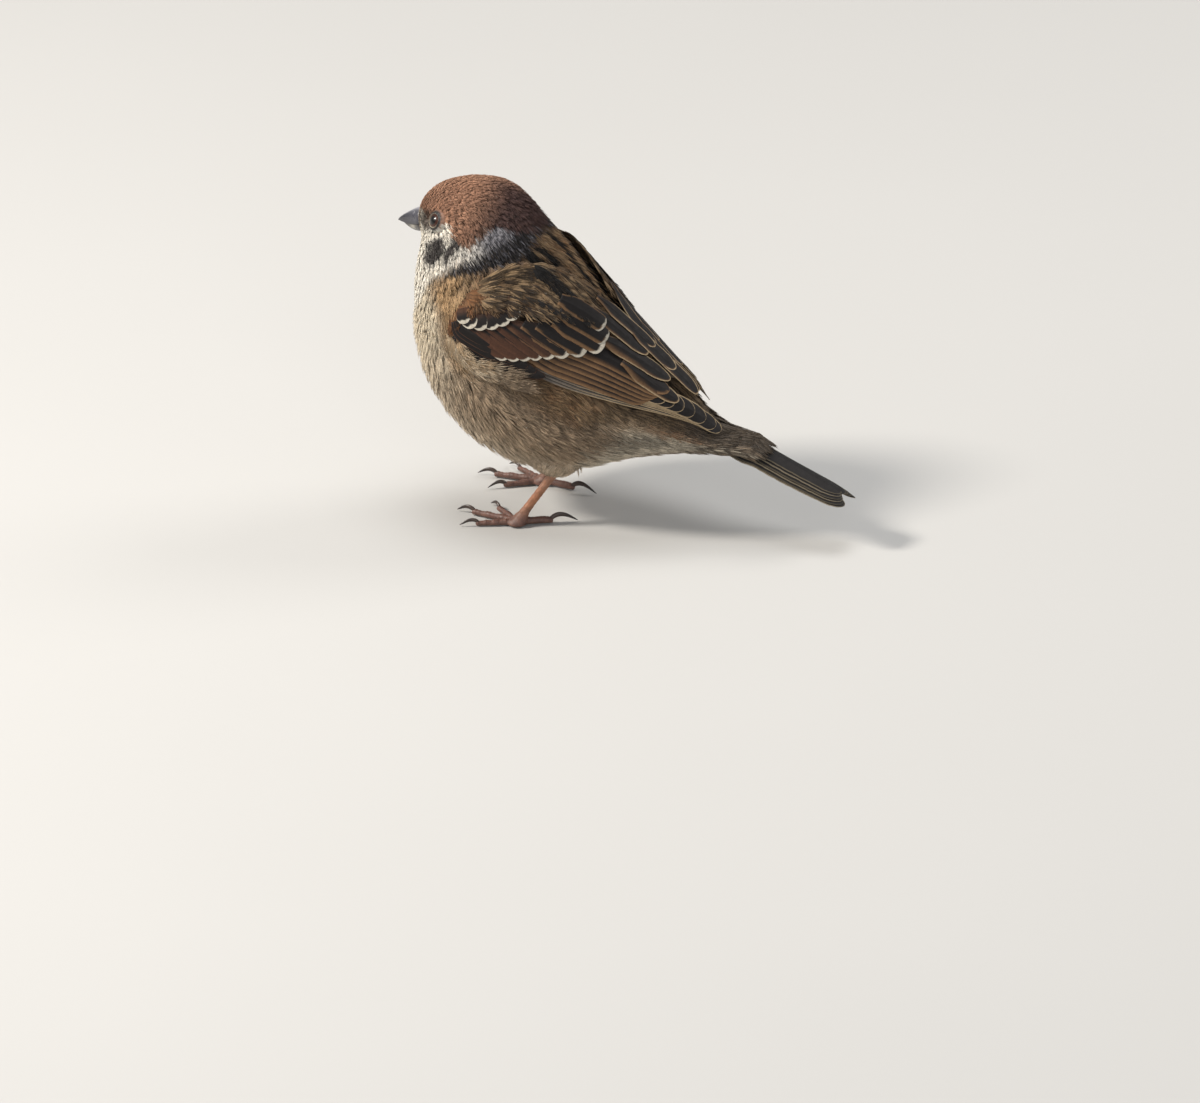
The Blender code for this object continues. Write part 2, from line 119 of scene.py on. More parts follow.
def body_straight(u, v):
    """Body surface before the head turns; v runs 0 dorsal, pi/2 left, pi ventral."""
    u, v = np.broadcast_arrays(np.asarray(u, float), np.asarray(v, float))
    row = spline(list(SECTIONS.values()), u)
    top, bot = row[..., 0:2], row[..., 2:4]
    w, m, n = row[..., 4], row[..., 5], row[..., 6]
    mid = bot + m[..., None] * (top - bot)
    c, s = np.cos(v), np.sin(v)
    cc = np.sign(c) * np.abs(c) ** (2 / n)
    ss = np.sign(s) * np.abs(s) ** (2 / n)
    end = np.where((c > 0)[..., None], top - mid, mid - bot)
    yz = mid + cc[..., None] * end
    return np.stack([w * ss, yz[..., 0], yz[..., 1]], -1)


def body(u, v):
    return turn_head(body_straight(u, v))

def grid_normals(p):
    """Unit normals of a grid of points (rows, columns, 3)."""
    n = np.cross(np.gradient(p, axis=0), np.gradient(p, axis=1))
    return n / (np.linalg.norm(n, axis=-1, keepdims=True) + 1e-12)


def body_cloud():
    """Dense points on the body, with their outward normals."""
    u = np.linspace(0, LAST, 150)[:, None]
    v = np.linspace(-np.pi, np.pi, 121)[None, :]
    p = body(u, v)
    n = -grid_normals(p)
    return p[1:-1, 1:-1].reshape(-1, 3), n[1:-1, 1:-1].reshape(-1, 3)


CLOUD, CLOUD_N = body_cloud()


# Wing, left side: the lower edge from the wrist along the breast and flank to
# the tip of the primaries, and the upper edge from the shoulder over the
# scapulars and tertials to the same tip.
WING_LOWER = [
    (16.6, -13.6, 52.0),
    (18.0, -12.4, 47.0),
    (19.2, -5.0, 43.4),
    (19.6, 3.0, 41.4),
    (19.0, 10.0, 39.8),
    (17.4, 19.0, 37.6),
    (14.6, 28.5, 34.6),
    (10.8, 37.5, 31.4),
    (6.6, 43.4, 28.2),
    (4.2, 47.4, 25.8),
]
WING_UPPER = [
    (15.6, -10.4, 57.6),
    (15.2, -5.0, 60.0),
    (13.4, 2.0, 61.0),
    (10.6, 9.0, 59.0),
    (7.4, 16.0, 54.8),
    (4.6, 23.5, 48.8),
    (2.7, 31.0, 42.2),
    (2.0, 38.0, 36.4),
    (1.8, 43.4, 30.8),
    (2.6, 48.0, 26.4),
]
WING_LAST = len(WING_LOWER) - 1
WING_BULGE = 1.0  # camber of the folded wing
WING_STEPS, WING_ROWS = 22, 7


def wing_thickness(s, t):
    """Coverts and stacked quills in the arm, thin vanes at the tip."""
    along = 1.9 - 1.1 * smoothstep((s - 0.35) / 0.6)
    edge = np.minimum(1, np.sqrt(np.clip(4 * t * (1 - t), 0, 1)) + 0.2)
    edge = edge * (1 - 0.45 * smoothstep((t - 0.5) / 0.5))
    front = smoothstep(s / 0.14) * 0.65 + 0.35
    return np.maximum(0.6, along * edge * front)


# Tail: twelve rectrices folded into one narrow, slightly roofed blade.
TAIL_DROOP = 24.5
TAIL_START = (54.2, 22.1)  # y, z of the centre of its root
TAIL_LENGTH = 26.6
TAIL_HALF_WIDTH = (4.5, 4.9, 5.2, 5.35, 5.1, 3.8)
TAIL_HALF_THICK = (1.2, 1.0, 0.85, 0.7, 0.55, 0.42)
TAIL_STEPS, TAIL_ROWS = 10, 8
TAIL_ROOF = 0.6  # how far the outer feathers hang below the middle pair
TAIL_NOTCH = 2.2  # how much the outer tips stand past the middle of the fork


def tail_frame():
    a = math.radians(TAIL_DROOP)
    along = np.array([0, math.cos(a), -math.sin(a)])
    up = np.array([0, math.sin(a), math.cos(a)])
    return along, up


# Legs: foot centre on the floor, and the ankle inside the belly plumage.
FEET = {"L": (12.4, 1.0), "R": (-12.0, -0.8)}
ANKLE_SHIFT = (-2.4, 10.4, 15.4)  # from foot centre to ankle, for the left leg
TARSUS_LEVELS = [  # height, half width across, half width along, of flat slices
    (0.0, 2.0, 2.1),
    (0.5, 2.5, 2.6),
    (1.3, 2.3, 2.5),
    (2.2, 1.55, 1.9),
    (3.2, 1.1, 1.45),
    (5.0, 0.98, 1.25),
    (7.0, 0.98, 1.25),
]
# Toe: name, bearing in degrees outward from straight ahead, length from the
# foot centre to the root of the claw, half width at the root, claw length.
TOES = {
    "L": [("inner", -44, 9.0, 0.78, 4.2), ("middle", -12, 11.6, 0.84, 4.6),
          ("outer", 22, 9.2, 0.76, 4.2), ("hind", 206, 8.0, 0.95, 6.2)],
    "R": [("inner", -32, 9.0, 0.78, 4.2), ("middle", 2, 11.6, 0.84, 4.6),
          ("outer", 36, 9.2, 0.76, 4.2), ("hind", 190, 8.0, 0.95, 6.2)],
}
TOE_START = 3.25
TOE_STEPS, CLAW_STEPS = 6, 6
CLAW_ARCH = 1.0
TOE_HEIGHT = 1.7


def toe_bearing(side, degrees):
    a = math.radians(degrees)
    sx = 1 if side == "L" else -1
    return np.array([sx * math.sin(a), -math.cos(a), 0.0])


def shank_point(side, z):
    sx = 1 if side == "L" else -1
    k = (z - 0.8) / ANKLE_SHIFT[2]
    return np.array([FEET[side][0] + sx * ANKLE_SHIFT[0] * k, FEET[side][1] + ANKLE_SHIFT[1] * k, z])


# Feathered thigh: an egg that swells out of the belly round the shank.
TARSUS_TOP = 11.6
THIGH_CENTRE_Z = 17.2
THIGH_SIZE = (4.6, 7.0, 5.0)  # half axes across, along and up
THIGH_PITCH = 14.0  # its rear end is lower


# Bill: a short stout cone, upper half with a curved ridge and a cutting edge.
BILL_ROOT = np.array([0.0, -28.5, 65.3])
BILL_TIP = np.array([0.0, -36.1, 63.95])
BILL_STEPS = 8
BILL_HALF_WIDTH = 2.9
BILL_UP, BILL_DOWN = 3.4, 2.2  # depth above and below the cutting edge at the root


# Eye: a ball set back in the head so that only its front shows.
EYE_PLACE = (3.14, 65.0)  # on the body surface: section number and degrees
EYE_RADIUS = 2.7
EYE_STANDS_OUT = 0.8
EYE_SLICES, EYE_ROWS = 14, 8


def eye_centre(side):
    """Centre of the eyeball, and the direction in which the eye looks."""
    u, v, h = EYE_PLACE[0], math.radians(EYE_PLACE[1]), 0.02
    p = body_straight(u, v)
    n = np.cross(
        body_straight(u, v + h) - body_straight(u, v - h),
        body_straight(u + h, v) - body_straight(u - h, v),
    )
    n = n / np.linalg.norm(n)
    n = n if n[0] > 0 else -n
    c = p - n * (EYE_RADIUS - EYE_STANDS_OUT)
    mirror = np.array([1 if side == "L" else -1, 1, 1])
    return turn_head(c * mirror), turn_head((c + n) * mirror) - turn_head(c * mirror)

# ---- helpers


def to_frame(p):
    q = np.array(p, float)
    q[..., 0] -= ORIGIN[0]
    q[..., 1] -= ORIGIN[1]
    return q / 1000.0


def rgb(r, g, b):
    """A colour named by its screen values 0-255, as the linear values that shaders use."""
    c = np.array([r, g, b], float) / 255
    return np.where(c <= 0.04045, c / 12.92, ((c + 0.055) / 1.055) ** 2.4)


def unit(v):
    return v / (np.linalg.norm(v, axis=-1, keepdims=True) + 1e-12)


def mix(a, b, w):
    w = np.asarray(w)[..., None]
    return a * (1 - w) + b * w


def band(x, lo, hi, soft):
    """1 between lo and hi, 0 outside, with soft shoulders."""
    return smoothstep((x - lo) / soft + 0.5) * smoothstep((hi - x) / soft + 0.5)


class Sheet:
    """A surface read by two coordinates: place, outward normal, both derivatives and its depth value."""

    def __init__(self, a0, a1, b0, b1, p, outward, depth, wrap=False):
        self.lim = (a0, a1, b0, b1)
        self.wrap = wrap
        na, nb = p.shape[:2]
        self.ha = (a1 - a0) / (na - 1)
        self.hb = (b1 - b0) / (nb if wrap else nb - 1)
        da = np.gradient(p, self.ha, axis=0)
        if wrap:
            db = (np.roll(p, -1, 1) - np.roll(p, 1, 1)) / (2 * self.hb)
        else:
            db = np.gradient(p, self.hb, axis=1)
        n = unit(np.cross(da, db))
        m = (n[na // 2, nb // 3] * outward(p[na // 2, nb // 3])).sum()
        if m < 0:
            n = -n
        self.data = np.concatenate([p, n, da, db, depth[..., None]], -1)

    def read(self, a, b):
        a0, a1, b0, b1 = self.lim
        na, nb = self.data.shape[:2]
        x = np.clip((a - a0) / self.ha, 0, na - 1.001)
        i = x.astype(int)
        fx = (x - i)[..., None]
        if self.wrap:
            y = np.mod((b - b0) / self.hb, nb)
            j = np.minimum(y.astype(int), nb - 1)
            k = (j + 1) % nb
        else:
            y = np.clip((b - b0) / self.hb, 0, nb - 1.001)
            j = y.astype(int)
            k = j + 1
        fy = (y - j)[..., None]
        d = self.data
        r = (d[i, j] * (1 - fx) + d[i + 1, j] * fx) * (1 - fy) + (d[i, k] * (1 - fx) + d[i + 1, k] * fx) * fy
        return r[..., 0:3], unit(r[..., 3:6]), r[..., 6:9], r[..., 9:12], r[..., 12]

    def solve(self, a, b, d):
        """Steps of the two coordinates that move by the tangent offset d, in mm."""
        _, _, sa, sb, _ = self.read(a, b)
        aa, ab, bb = (sa * sa).sum(-1), (sa * sb).sum(-1), (sb * sb).sum(-1)
        da, db = (sa * d).sum(-1), (sb * d).sum(-1)
        det = np.maximum(aa * bb - ab * ab, 1e-9)
        return (da * bb - db * ab) / det, (db * aa - da * ab) / det

    def walk(self, a, b, d):
        x, y = self.solve(a, b, d)
        x, y = self.solve(a + np.clip(x, -1, 1) / 2, b + np.clip(y, -0.7, 0.7) / 2, d)
        return a + x, b + y


class Pile:
    """Triangles gathered for one piece, with a colour, a place on the bake map and vane coordinates at each point."""

    def __init__(self):
        self.v, self.f, self.c, self.uv, self.w, self.n = [], [], [], [], [], 0

    def add(self, v, f, c, uv, w=None):
        v = v.reshape(-1, 3)
        self.v.append(v)
        self.f.append(np.asarray(f).reshape(-1, 3) + self.n)
        self.c.append(np.clip(np.broadcast_to(c, v.shape if np.ndim(c) == 1 else np.shape(c)).reshape(-1, 3), 0.002, 1))
        self.uv.append(uv.reshape(-1, 2))
        self.w.append(np.zeros((len(v), 3)) if w is None else w.reshape(-1, 3))
        self.n += len(v)

    def make(self, name, material, nodes=()):
        v, f = np.concatenate(self.v), np.concatenate(self.f).astype(np.int32)
        me = bpy.data.meshes.new(name)
        me.vertices.add(len(v))
        me.vertices.foreach_set("co", to_frame(v).astype(np.float32).ravel())
        me.loops.add(f.size)
        me.loops.foreach_set("vertex_index", f.ravel())
        me.polygons.add(len(f))
        me.polygons.foreach_set("loop_start", np.arange(0, f.size, 3, dtype=np.int32))
        me.polygons.foreach_set("use_smooth", np.ones(len(f), bool))
        me.update(calc_edges=True)
        c = np.concatenate(self.c)
        layer = me.color_attributes.new("Plumage", "FLOAT_COLOR", "POINT")
        layer.data.foreach_set("color", np.column_stack([c, np.ones(len(c))]).astype(np.float32).ravel())
        w = me.attributes.new("vane", "FLOAT_VECTOR", "POINT")
        w.data.foreach_set("vector", np.concatenate(self.w).astype(np.float32).ravel())
        uv = np.concatenate(self.uv)
        layer = me.uv_layers.new(name="OFBake")
        layer.data.foreach_set("uv", uv[f.ravel()].astype(np.float32).ravel())
        me.materials.append(material)
        ob = bpy.data.objects.new(name, me)
        bpy.context.scene.collection.objects.link(ob)
        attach(ob, "root")
        if nodes:
            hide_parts(*nodes)
        counts[name] = len(f)
        return ob


counts = {}

# ---- colours, by what they are on the bird

INK = {
    "crown": rgb(162, 122, 98),
    "crown_dark_and_shade": rgb(70, 50, 46),
    "crown_tip": rgb(188, 148, 120),
    "lore": rgb(74, 58, 48),
    "white": rgb(226, 219, 206),
    "collar": rgb(212, 206, 196),
    "ear": rgb(42, 36, 37),
    "bib": rgb(34, 30, 30),
    "tuft": rgb(152, 137, 121),
    "nape_grey": rgb(116, 114, 119),
    "nape_dark": rgb(46, 41, 42),
    "cream": rgb(214, 200, 176),
    "wash": rgb(184, 150, 108),
    "flank": rgb(168, 146, 121),
    "belly": rgb(198, 181, 158),
    "vent": rgb(188, 176, 156),
    "vent_dark": rgb(104, 86, 68),
    "rust": rgb(150, 100, 62),
    "mantle": rgb(124, 97, 70),
    "mantle_pale": rgb(164, 137, 104),
    "streak": rgb(18, 15, 14),
    "rump": rgb(118, 99, 76),
    "tail_covert": rgb(96, 85, 73),
    "down": rgb(70, 66, 64),
    "lesser": rgb(128, 87, 55),
    "lesser_dark": rgb(72, 48, 35),
    "chestnut": rgb(77, 50, 36),
    "quill": rgb(24, 20, 19),
    "quill_brown": rgb(50, 39, 32),
    "panel": rgb(110, 83, 57),
    "panel_dark": rgb(64, 46, 32),
    "rim": rgb(168, 146, 114),
    "fringe": rgb(176, 148, 112),
    "bar": rgb(190, 182, 166),
    "grey_edge": rgb(100, 93, 86),
    "tail": rgb(31, 28, 27),
    "tail_edge": rgb(134, 122, 102),
}


# ---- the body as a sheet

NU, NV = 451, 384
GRID_U = np.linspace(0, LAST, NU)
GRID_V = np.linspace(-np.pi, np.pi, NV, endpoint=False)


def level(u, w, dorsal, side, ventral):
    """A size that changes along the body on its back, side and underside; w is degrees from the back."""
    d, s, v = (np.interp(u, KNOTS, row) for row in (dorsal, side, ventral))
    k = np.clip(w / 90.0, 0, 2)
    low = smoothstep(np.clip(k, 0, 1))
    high = smoothstep(np.clip(k - 1, 0, 1))
    return np.where(k < 1, d + (s - d) * low, s + (v - s) * high)


KNOTS = (0, 1, 2, 3, 4.5, 5.5, 6.5, 8, 10, 12, 13, 14, 15)


def coat_depth(u, w):
    return level(
        u, w,
        (0.35, 0.5, 0.7, 0.9, 1.2, 1.6, 2.0, 2.2, 2.2, 2.2, 1.8, 1.1, 0.45),
        (0.35, 0.5, 0.6, 0.8, 1.2, 1.8, 2.2, 2.4, 2.6, 2.6, 2.1, 1.2, 0.5),
        (0.35, 0.5, 0.7, 1.0, 1.4, 2.0, 2.4, 2.8, 3.0, 2.8, 2.2, 1.4, 0.7),
    )


def feather_length(u, w):
    return level(
        u, w,
        (1.3, 1.9, 2.9, 3.6, 4.2, 4.6, 5.6, 6.8, 6.6, 6.6, 7.0, 7.4, 7.0),
        (1.1, 1.5, 2.1, 2.8, 3.6, 4.6, 5.8, 7.2, 8.0, 7.6, 7.4, 7.4, 7.0),
        (1.0, 1.4, 1.9, 2.6, 3.4, 4.6, 6.2, 7.6, 8.2, 8.2, 8.6, 9.4, 9.0),
    )


def feather_gap(u, w):
    return level(
        u, w,
        (0.42, 0.48, 0.58, 0.68, 0.78, 0.95, 1.3, 1.75, 1.8, 1.6, 1.4, 1.4, 1.4),
        (0.42, 0.44, 0.52, 0.64, 0.78, 1.0, 1.25, 1.35, 1.35, 1.35, 1.3, 1.3, 1.4),
        (0.42, 0.48, 0.58, 0.72, 0.85, 1.1, 1.3, 1.4, 1.45, 1.45, 1.45, 1.5, 1.5),
    )


def feather_half_width(u, w):
    return level(
        u, w,
        (0.35, 0.42, 0.55, 0.70, 0.85, 1.1, 1.6, 2.3, 2.2, 1.9, 1.8, 2.0, 2.0),
        (0.32, 0.36, 0.44, 0.58, 0.75, 0.95, 1.2, 1.4, 1.5, 1.5, 1.5, 1.7, 1.8),
        (0.32, 0.40, 0.50, 0.65, 0.80, 1.05, 1.3, 1.5, 1.6, 1.7, 1.9, 2.1, 2.0),
    )


BODY = body(GRID_U[:, None], GRID_V[None, :])
BODY_DEPTH = coat_depth(GRID_U[:, None], np.abs(np.degrees(GRID_V))[None, :] + 0 * GRID_U[:, None])
CENTRE_LINE = BODY.mean(1)
body_sheet = Sheet(0, LAST, -np.pi, np.pi, BODY, lambda p: p - CENTRE_LINE[NU // 2], BODY_DEPTH, wrap=True)
EYES = {s: eye_centre(s) for s in "LR"}


# ---- the folded wings as sheets


def clear_body(p, gap, hug):
    """Push points out of the body to a gap off its surface, and draw in those that float further out."""
    flat = np.array(p, float).reshape(-1, 3)
    hug = np.broadcast_to(hug, np.shape(p)[:-1]).reshape(-1)
    for _ in range(3):
        k = np.concatenate([
            ((q[:, None, :] - CLOUD[None, :, :]) ** 2).sum(-1).argmin(1)
            for q in np.array_split(flat, max(1, len(flat) // 200))
        ])
        off = ((flat - CLOUD[k]) * CLOUD_N[k]).sum(-1)
        move = np.where(off < gap, gap - off, -(off - gap) * hug)
        flat += move[:, None] * CLOUD_N[k]
    return flat.reshape(np.shape(p))


def wing_inner(s, t, side):
    """Inner face of a folded wing, a little wider than the solid one so that quills may stand past its edges."""
    s, t = np.broadcast_arrays(np.asarray(s, float), np.asarray(t, float))
    lo = spline(WING_LOWER, s * WING_LAST)
    up = spline(WING_UPPER, s * WING_LAST)
    p = lo + (up - lo) * t[..., None]
    tc = np.clip(t, 0, 1)
    bulge = WING_BULGE * 4 * tc * (1 - tc) * smoothstep(s / 0.25) * (1 - smoothstep((s - 0.75) / 0.25))
    p = p + bulge[..., None] * np.array([0.8, 0.1, 0.55])
    p[..., 0] *= side
    # the wings' tips lie on the rump, the right one closer
    loose = smoothstep((s - 0.5) / 0.3) * (0.10 if side < 0 else 0.76)
    return clear_body(p, GAP + 0.15, 0.6 * (1 - loose) + 0.2 * (side < 0) * smoothstep((s - 0.75) / 0.1))


WING_T = (-0.2, 1.35)
wing_sheets = {}
for _side, _sx in (("L", 1), ("R", -1)):
    _s = np.linspace(0, 1, 61)[:, None]
    _t = np.linspace(*WING_T, 32)[None, :]
    _p = wing_inner(_s, _t, _sx)
    for _ in range(2):  # even out the small steps left by the body's facets
        _q = _p.copy()
        _q[1:-1, 1:-1] = 0.5 * _p[1:-1, 1:-1] + 0.125 * (_p[2:, 1:-1] + _p[:-2, 1:-1] + _p[1:-1, 2:] + _p[1:-1, :-2])
        _p = _q
    _d = wing_thickness(_s + 0 * _t, np.clip(_t, 0.12, 0.88) + 0 * _s)
    wing_sheets[_side] = Sheet(0, 1, *WING_T, _p, lambda p, x=_sx: np.array([x, 0.0, 0.3]), _d)


# ---- soft feathers: each is a fan of tapering solid barbs round a hidden shaft

STATIONS = np.array([0.0, 0.42, 0.78, 1.0])
BARB_WIDTH = np.array([0.55, 1.0, 0.72])
# points of one barb: left, right and ridge at three stations, then the tip
BARB_FACES = []
for _i in (0, 3):
    for _a, _b in ((0, 1), (1, 2), (2, 0)):
        BARB_FACES += [(_i + _a, _i + _b, _i + 3 + _b), (_i + _a, _i + 3 + _b, _i + 3 + _a)]
BARB_FACES += [(6, 7, 9), (7, 8, 9), (8, 6, 9), (0, 2, 1)]
BARB_FACES = np.array(BARB_FACES)


def fans(pile, sheet, a, b, heading, length, half, barbs, ink, seed, rise=(0.15, 1.0), lift=0.0, cup=0.25,
         loose=0.1, fat=1.0, uv=None, curl=0.0, depth_scale=1.0, tones=(0.08, 0.05), ragged=None, bumps=0.04):
    """Adds one feather for each root (a, b) on the sheet.

    heading is the way it lies, a vector that is laid into the surface; ink is
    a dict of colours (root, main, shaft, shaft_w, tip, tip_w), one for each
    feather, or a function that gives them for places on the sheet, so that a
    marking's edge runs through feathers.
    """
    rng = np.random.default_rng(seed)
    n = len(a)
    if n == 0:
        return
    _, nor, _, _, _ = sheet.read(a, b)
    e1 = unit(heading - (heading * nor).sum(-1, keepdims=True) * nor)
    e2 = np.cross(nor, e1)
    k = barbs
    bj = np.linspace(-1, 1, k)[None, :] + rng.normal(0, 0.5 / k, (n, k))
    y0 = 0.02 + 0.30 * (1 - np.abs(bj)) * rng.random((n, k))
    y1 = 1 - 0.34 * np.abs(bj) ** 1.8 - rng.random((n, k)) * (0.10 + loose if ragged is None else ragged)
    f = STATIONS[None, None, :]
    y = (y0[..., None] + (y1 - y0)[..., None] * f) * length[:, None, None]
    bend = rng.normal(0, 0.05 + loose, (n, k))[..., None] * f**2 + (rng.normal(0, 1, n) * curl)[:, None, None] * (y / np.mean(length)) ** 2
    x = half[:, None, None] * (bj[..., None] * (1 - (1 - f) ** 1.7) + bend)
    hw = (half[:, None] * 1.15 * fat / k * rng.uniform(0.8, 1.25, (n, k)))[..., None] * BARB_WIDTH
    along = y / length[:, None, None]
    up = rise[0] + (rise[1] - rise[0]) * (1 - (1 - np.clip(along, 0, 1)) ** 1.6)
    up = up + rng.normal(0, 0.02 + 0.22 * loose, (n, k))[..., None] * f + rng.normal(0, bumps, n)[:, None, None]
    h = lift_term(lift, n)[:, None, None] * along**2 * length[:, None, None]
    h = h - cup * half[:, None, None] * (x / half[:, None, None]) ** 2 * 0.5
    px = np.empty((n, k, 10))  # across, along, share of the coat's depth, and further height
    py = np.empty((n, k, 10))
    pu = np.empty((n, k, 10))
    ph = np.empty((n, k, 10))
    thick = 0.45 * hw + 0.03
    for i in range(3):
        px[..., 3 * i] = x[..., i] - hw[..., i]
        px[..., 3 * i + 1] = x[..., i] + hw[..., i]
        px[..., 3 * i + 2] = x[..., i]
        for j in range(3):
            py[..., 3 * i + j] = y[..., i]
            pu[..., 3 * i + j] = up[..., i]
            ph[..., 3 * i + j] = h[..., i] + (thick[..., i] if j == 2 else 0)
    px[..., 9], py[..., 9], pu[..., 9], ph[..., 9] = x[..., 3], y[..., 3], up[..., 3], h[..., 3]
    d = e1[:, None, None, :] * py[..., None] + e2[:, None, None, :] * px[..., None]
    aa = np.broadcast_to(a[:, None, None], px.shape)
    bb = np.broadcast_to(b[:, None, None], px.shape)
    qa, qb = sheet.walk(aa, bb, d)
    p, nn, _, _, dd = sheet.read(qa, qb)
    rest = dd * depth_scale * (pu - 1) if sheet.skin_below else dd * depth_scale * pu
    # past the end of the sheet the feather goes straight on
    over = np.maximum(0, qa - sheet.lim[1]) + np.minimum(0, qa - sheet.lim[0])
    _, _, sa, _, _ = sheet.read(aa, bb)
    if sheet.beyond is not None:
        ahead, close = sheet.beyond
        far = (np.linalg.norm(sa, axis=-1) * over)[..., None]
        p = p + ahead * far - nn * close * far
    else:
        p = p + sa * over[..., None]
    p = p + nn * (rest + ph)[..., None]
    # colours
    rel = py / length[:, None, None]
    if callable(ink):
        at = np.clip(0.5 * (qa[..., 6] + qa[..., 9]), *sheet.lim[:2]), 0.5 * (qb[..., 6] + qb[..., 9])
        ink = {name: x.reshape((n, k) + x.shape[1:]) for name, x in ink(at[0].ravel(), at[1].ravel()).items()}
    else:
        ink = {name: x[:, None] if np.ndim(x) else np.full((n, 1), x) for name, x in ink.items()}
        ink["shift"] = ink.get("shift", np.zeros((n, 1))).reshape(n, -1)
    col = np.broadcast_to(ink["main"][:, :, None, :], p.shape).copy()
    side_b = np.broadcast_to(np.abs(bj + ink["shift"])[..., None], px.shape)
    sw = ink["shaft_w"][:, :, None]
    col = mix(col, ink["shaft"][:, :, None, :], smoothstep((sw - side_b) / 0.22 + 0.5) * (sw > 0))
    col = mix(col, ink["tip"][:, :, None, :], smoothstep((rel - (1 - ink["tip_w"][:, :, None])) / 0.12 + 0.5))
    col = mix(col, ink["root"][:, :, None, :], 1 - smoothstep((rel - 0.05) / 0.4))
    tone = rng.normal(1, tones[0], (n, k, 1, 1)) * rng.normal(1, tones[1], (n, 1, 1, 1))
    col = col * np.clip(tone, 0.6, 1.45)
    # painted highlight: the ridge points along the top of each barb are a little lighter
    col[..., 2, :] *= 1.05
    col[..., 5, :] *= 1.06
    col[..., 8, :] *= 1.06
    # a patch of the bake map for each feather, at its root's place
    ru = (np.array(uv[0]) if uv else (a - sheet.lim[0]) / (sheet.lim[1] - sheet.lim[0]))
    rv = (np.array(uv[1]) if uv else (b - sheet.lim[2]) / (sheet.lim[3] - sheet.lim[2]))
    mu = 0.01 + 0.975 * np.clip(ru, 0, 1)[:, None, None] + 0.003 * np.clip(rel, 0, 1)
    mv = 0.01 + 0.975 * np.mod(rv, 1.0001)[:, None, None] + 0.0015 * (1 + np.clip(px / half[:, None, None], -1, 1))
    faces = np.arange(n * k)[:, None, None] * 10 + BARB_FACES[None]
    pile.add(p, faces, col, np.stack([mu, mv], -1))


def lift_term(lift, n):
    return np.broadcast_to(np.asarray(lift, float), (n,))


Sheet.skin_below = False
Sheet.beyond = None
body_sheet.skin_below = True
body_sheet.beyond = (tail_frame()[0], 0.13)


# ---- markings of the body, shared by skin and feathers


def patchy(u, w, k):
    """Slow, uneven change over the body, 0 to 1."""
    s = np.sin(7.3 * u + 1.7 * k + 0.21 * w) * np.sin(0.33 * w - 3.1 * u + k) + 0.5 * np.sin(13 * u + 0.5 * w + 2 * k)
    return np.clip(0.5 + 0.36 * s, 0, 1)


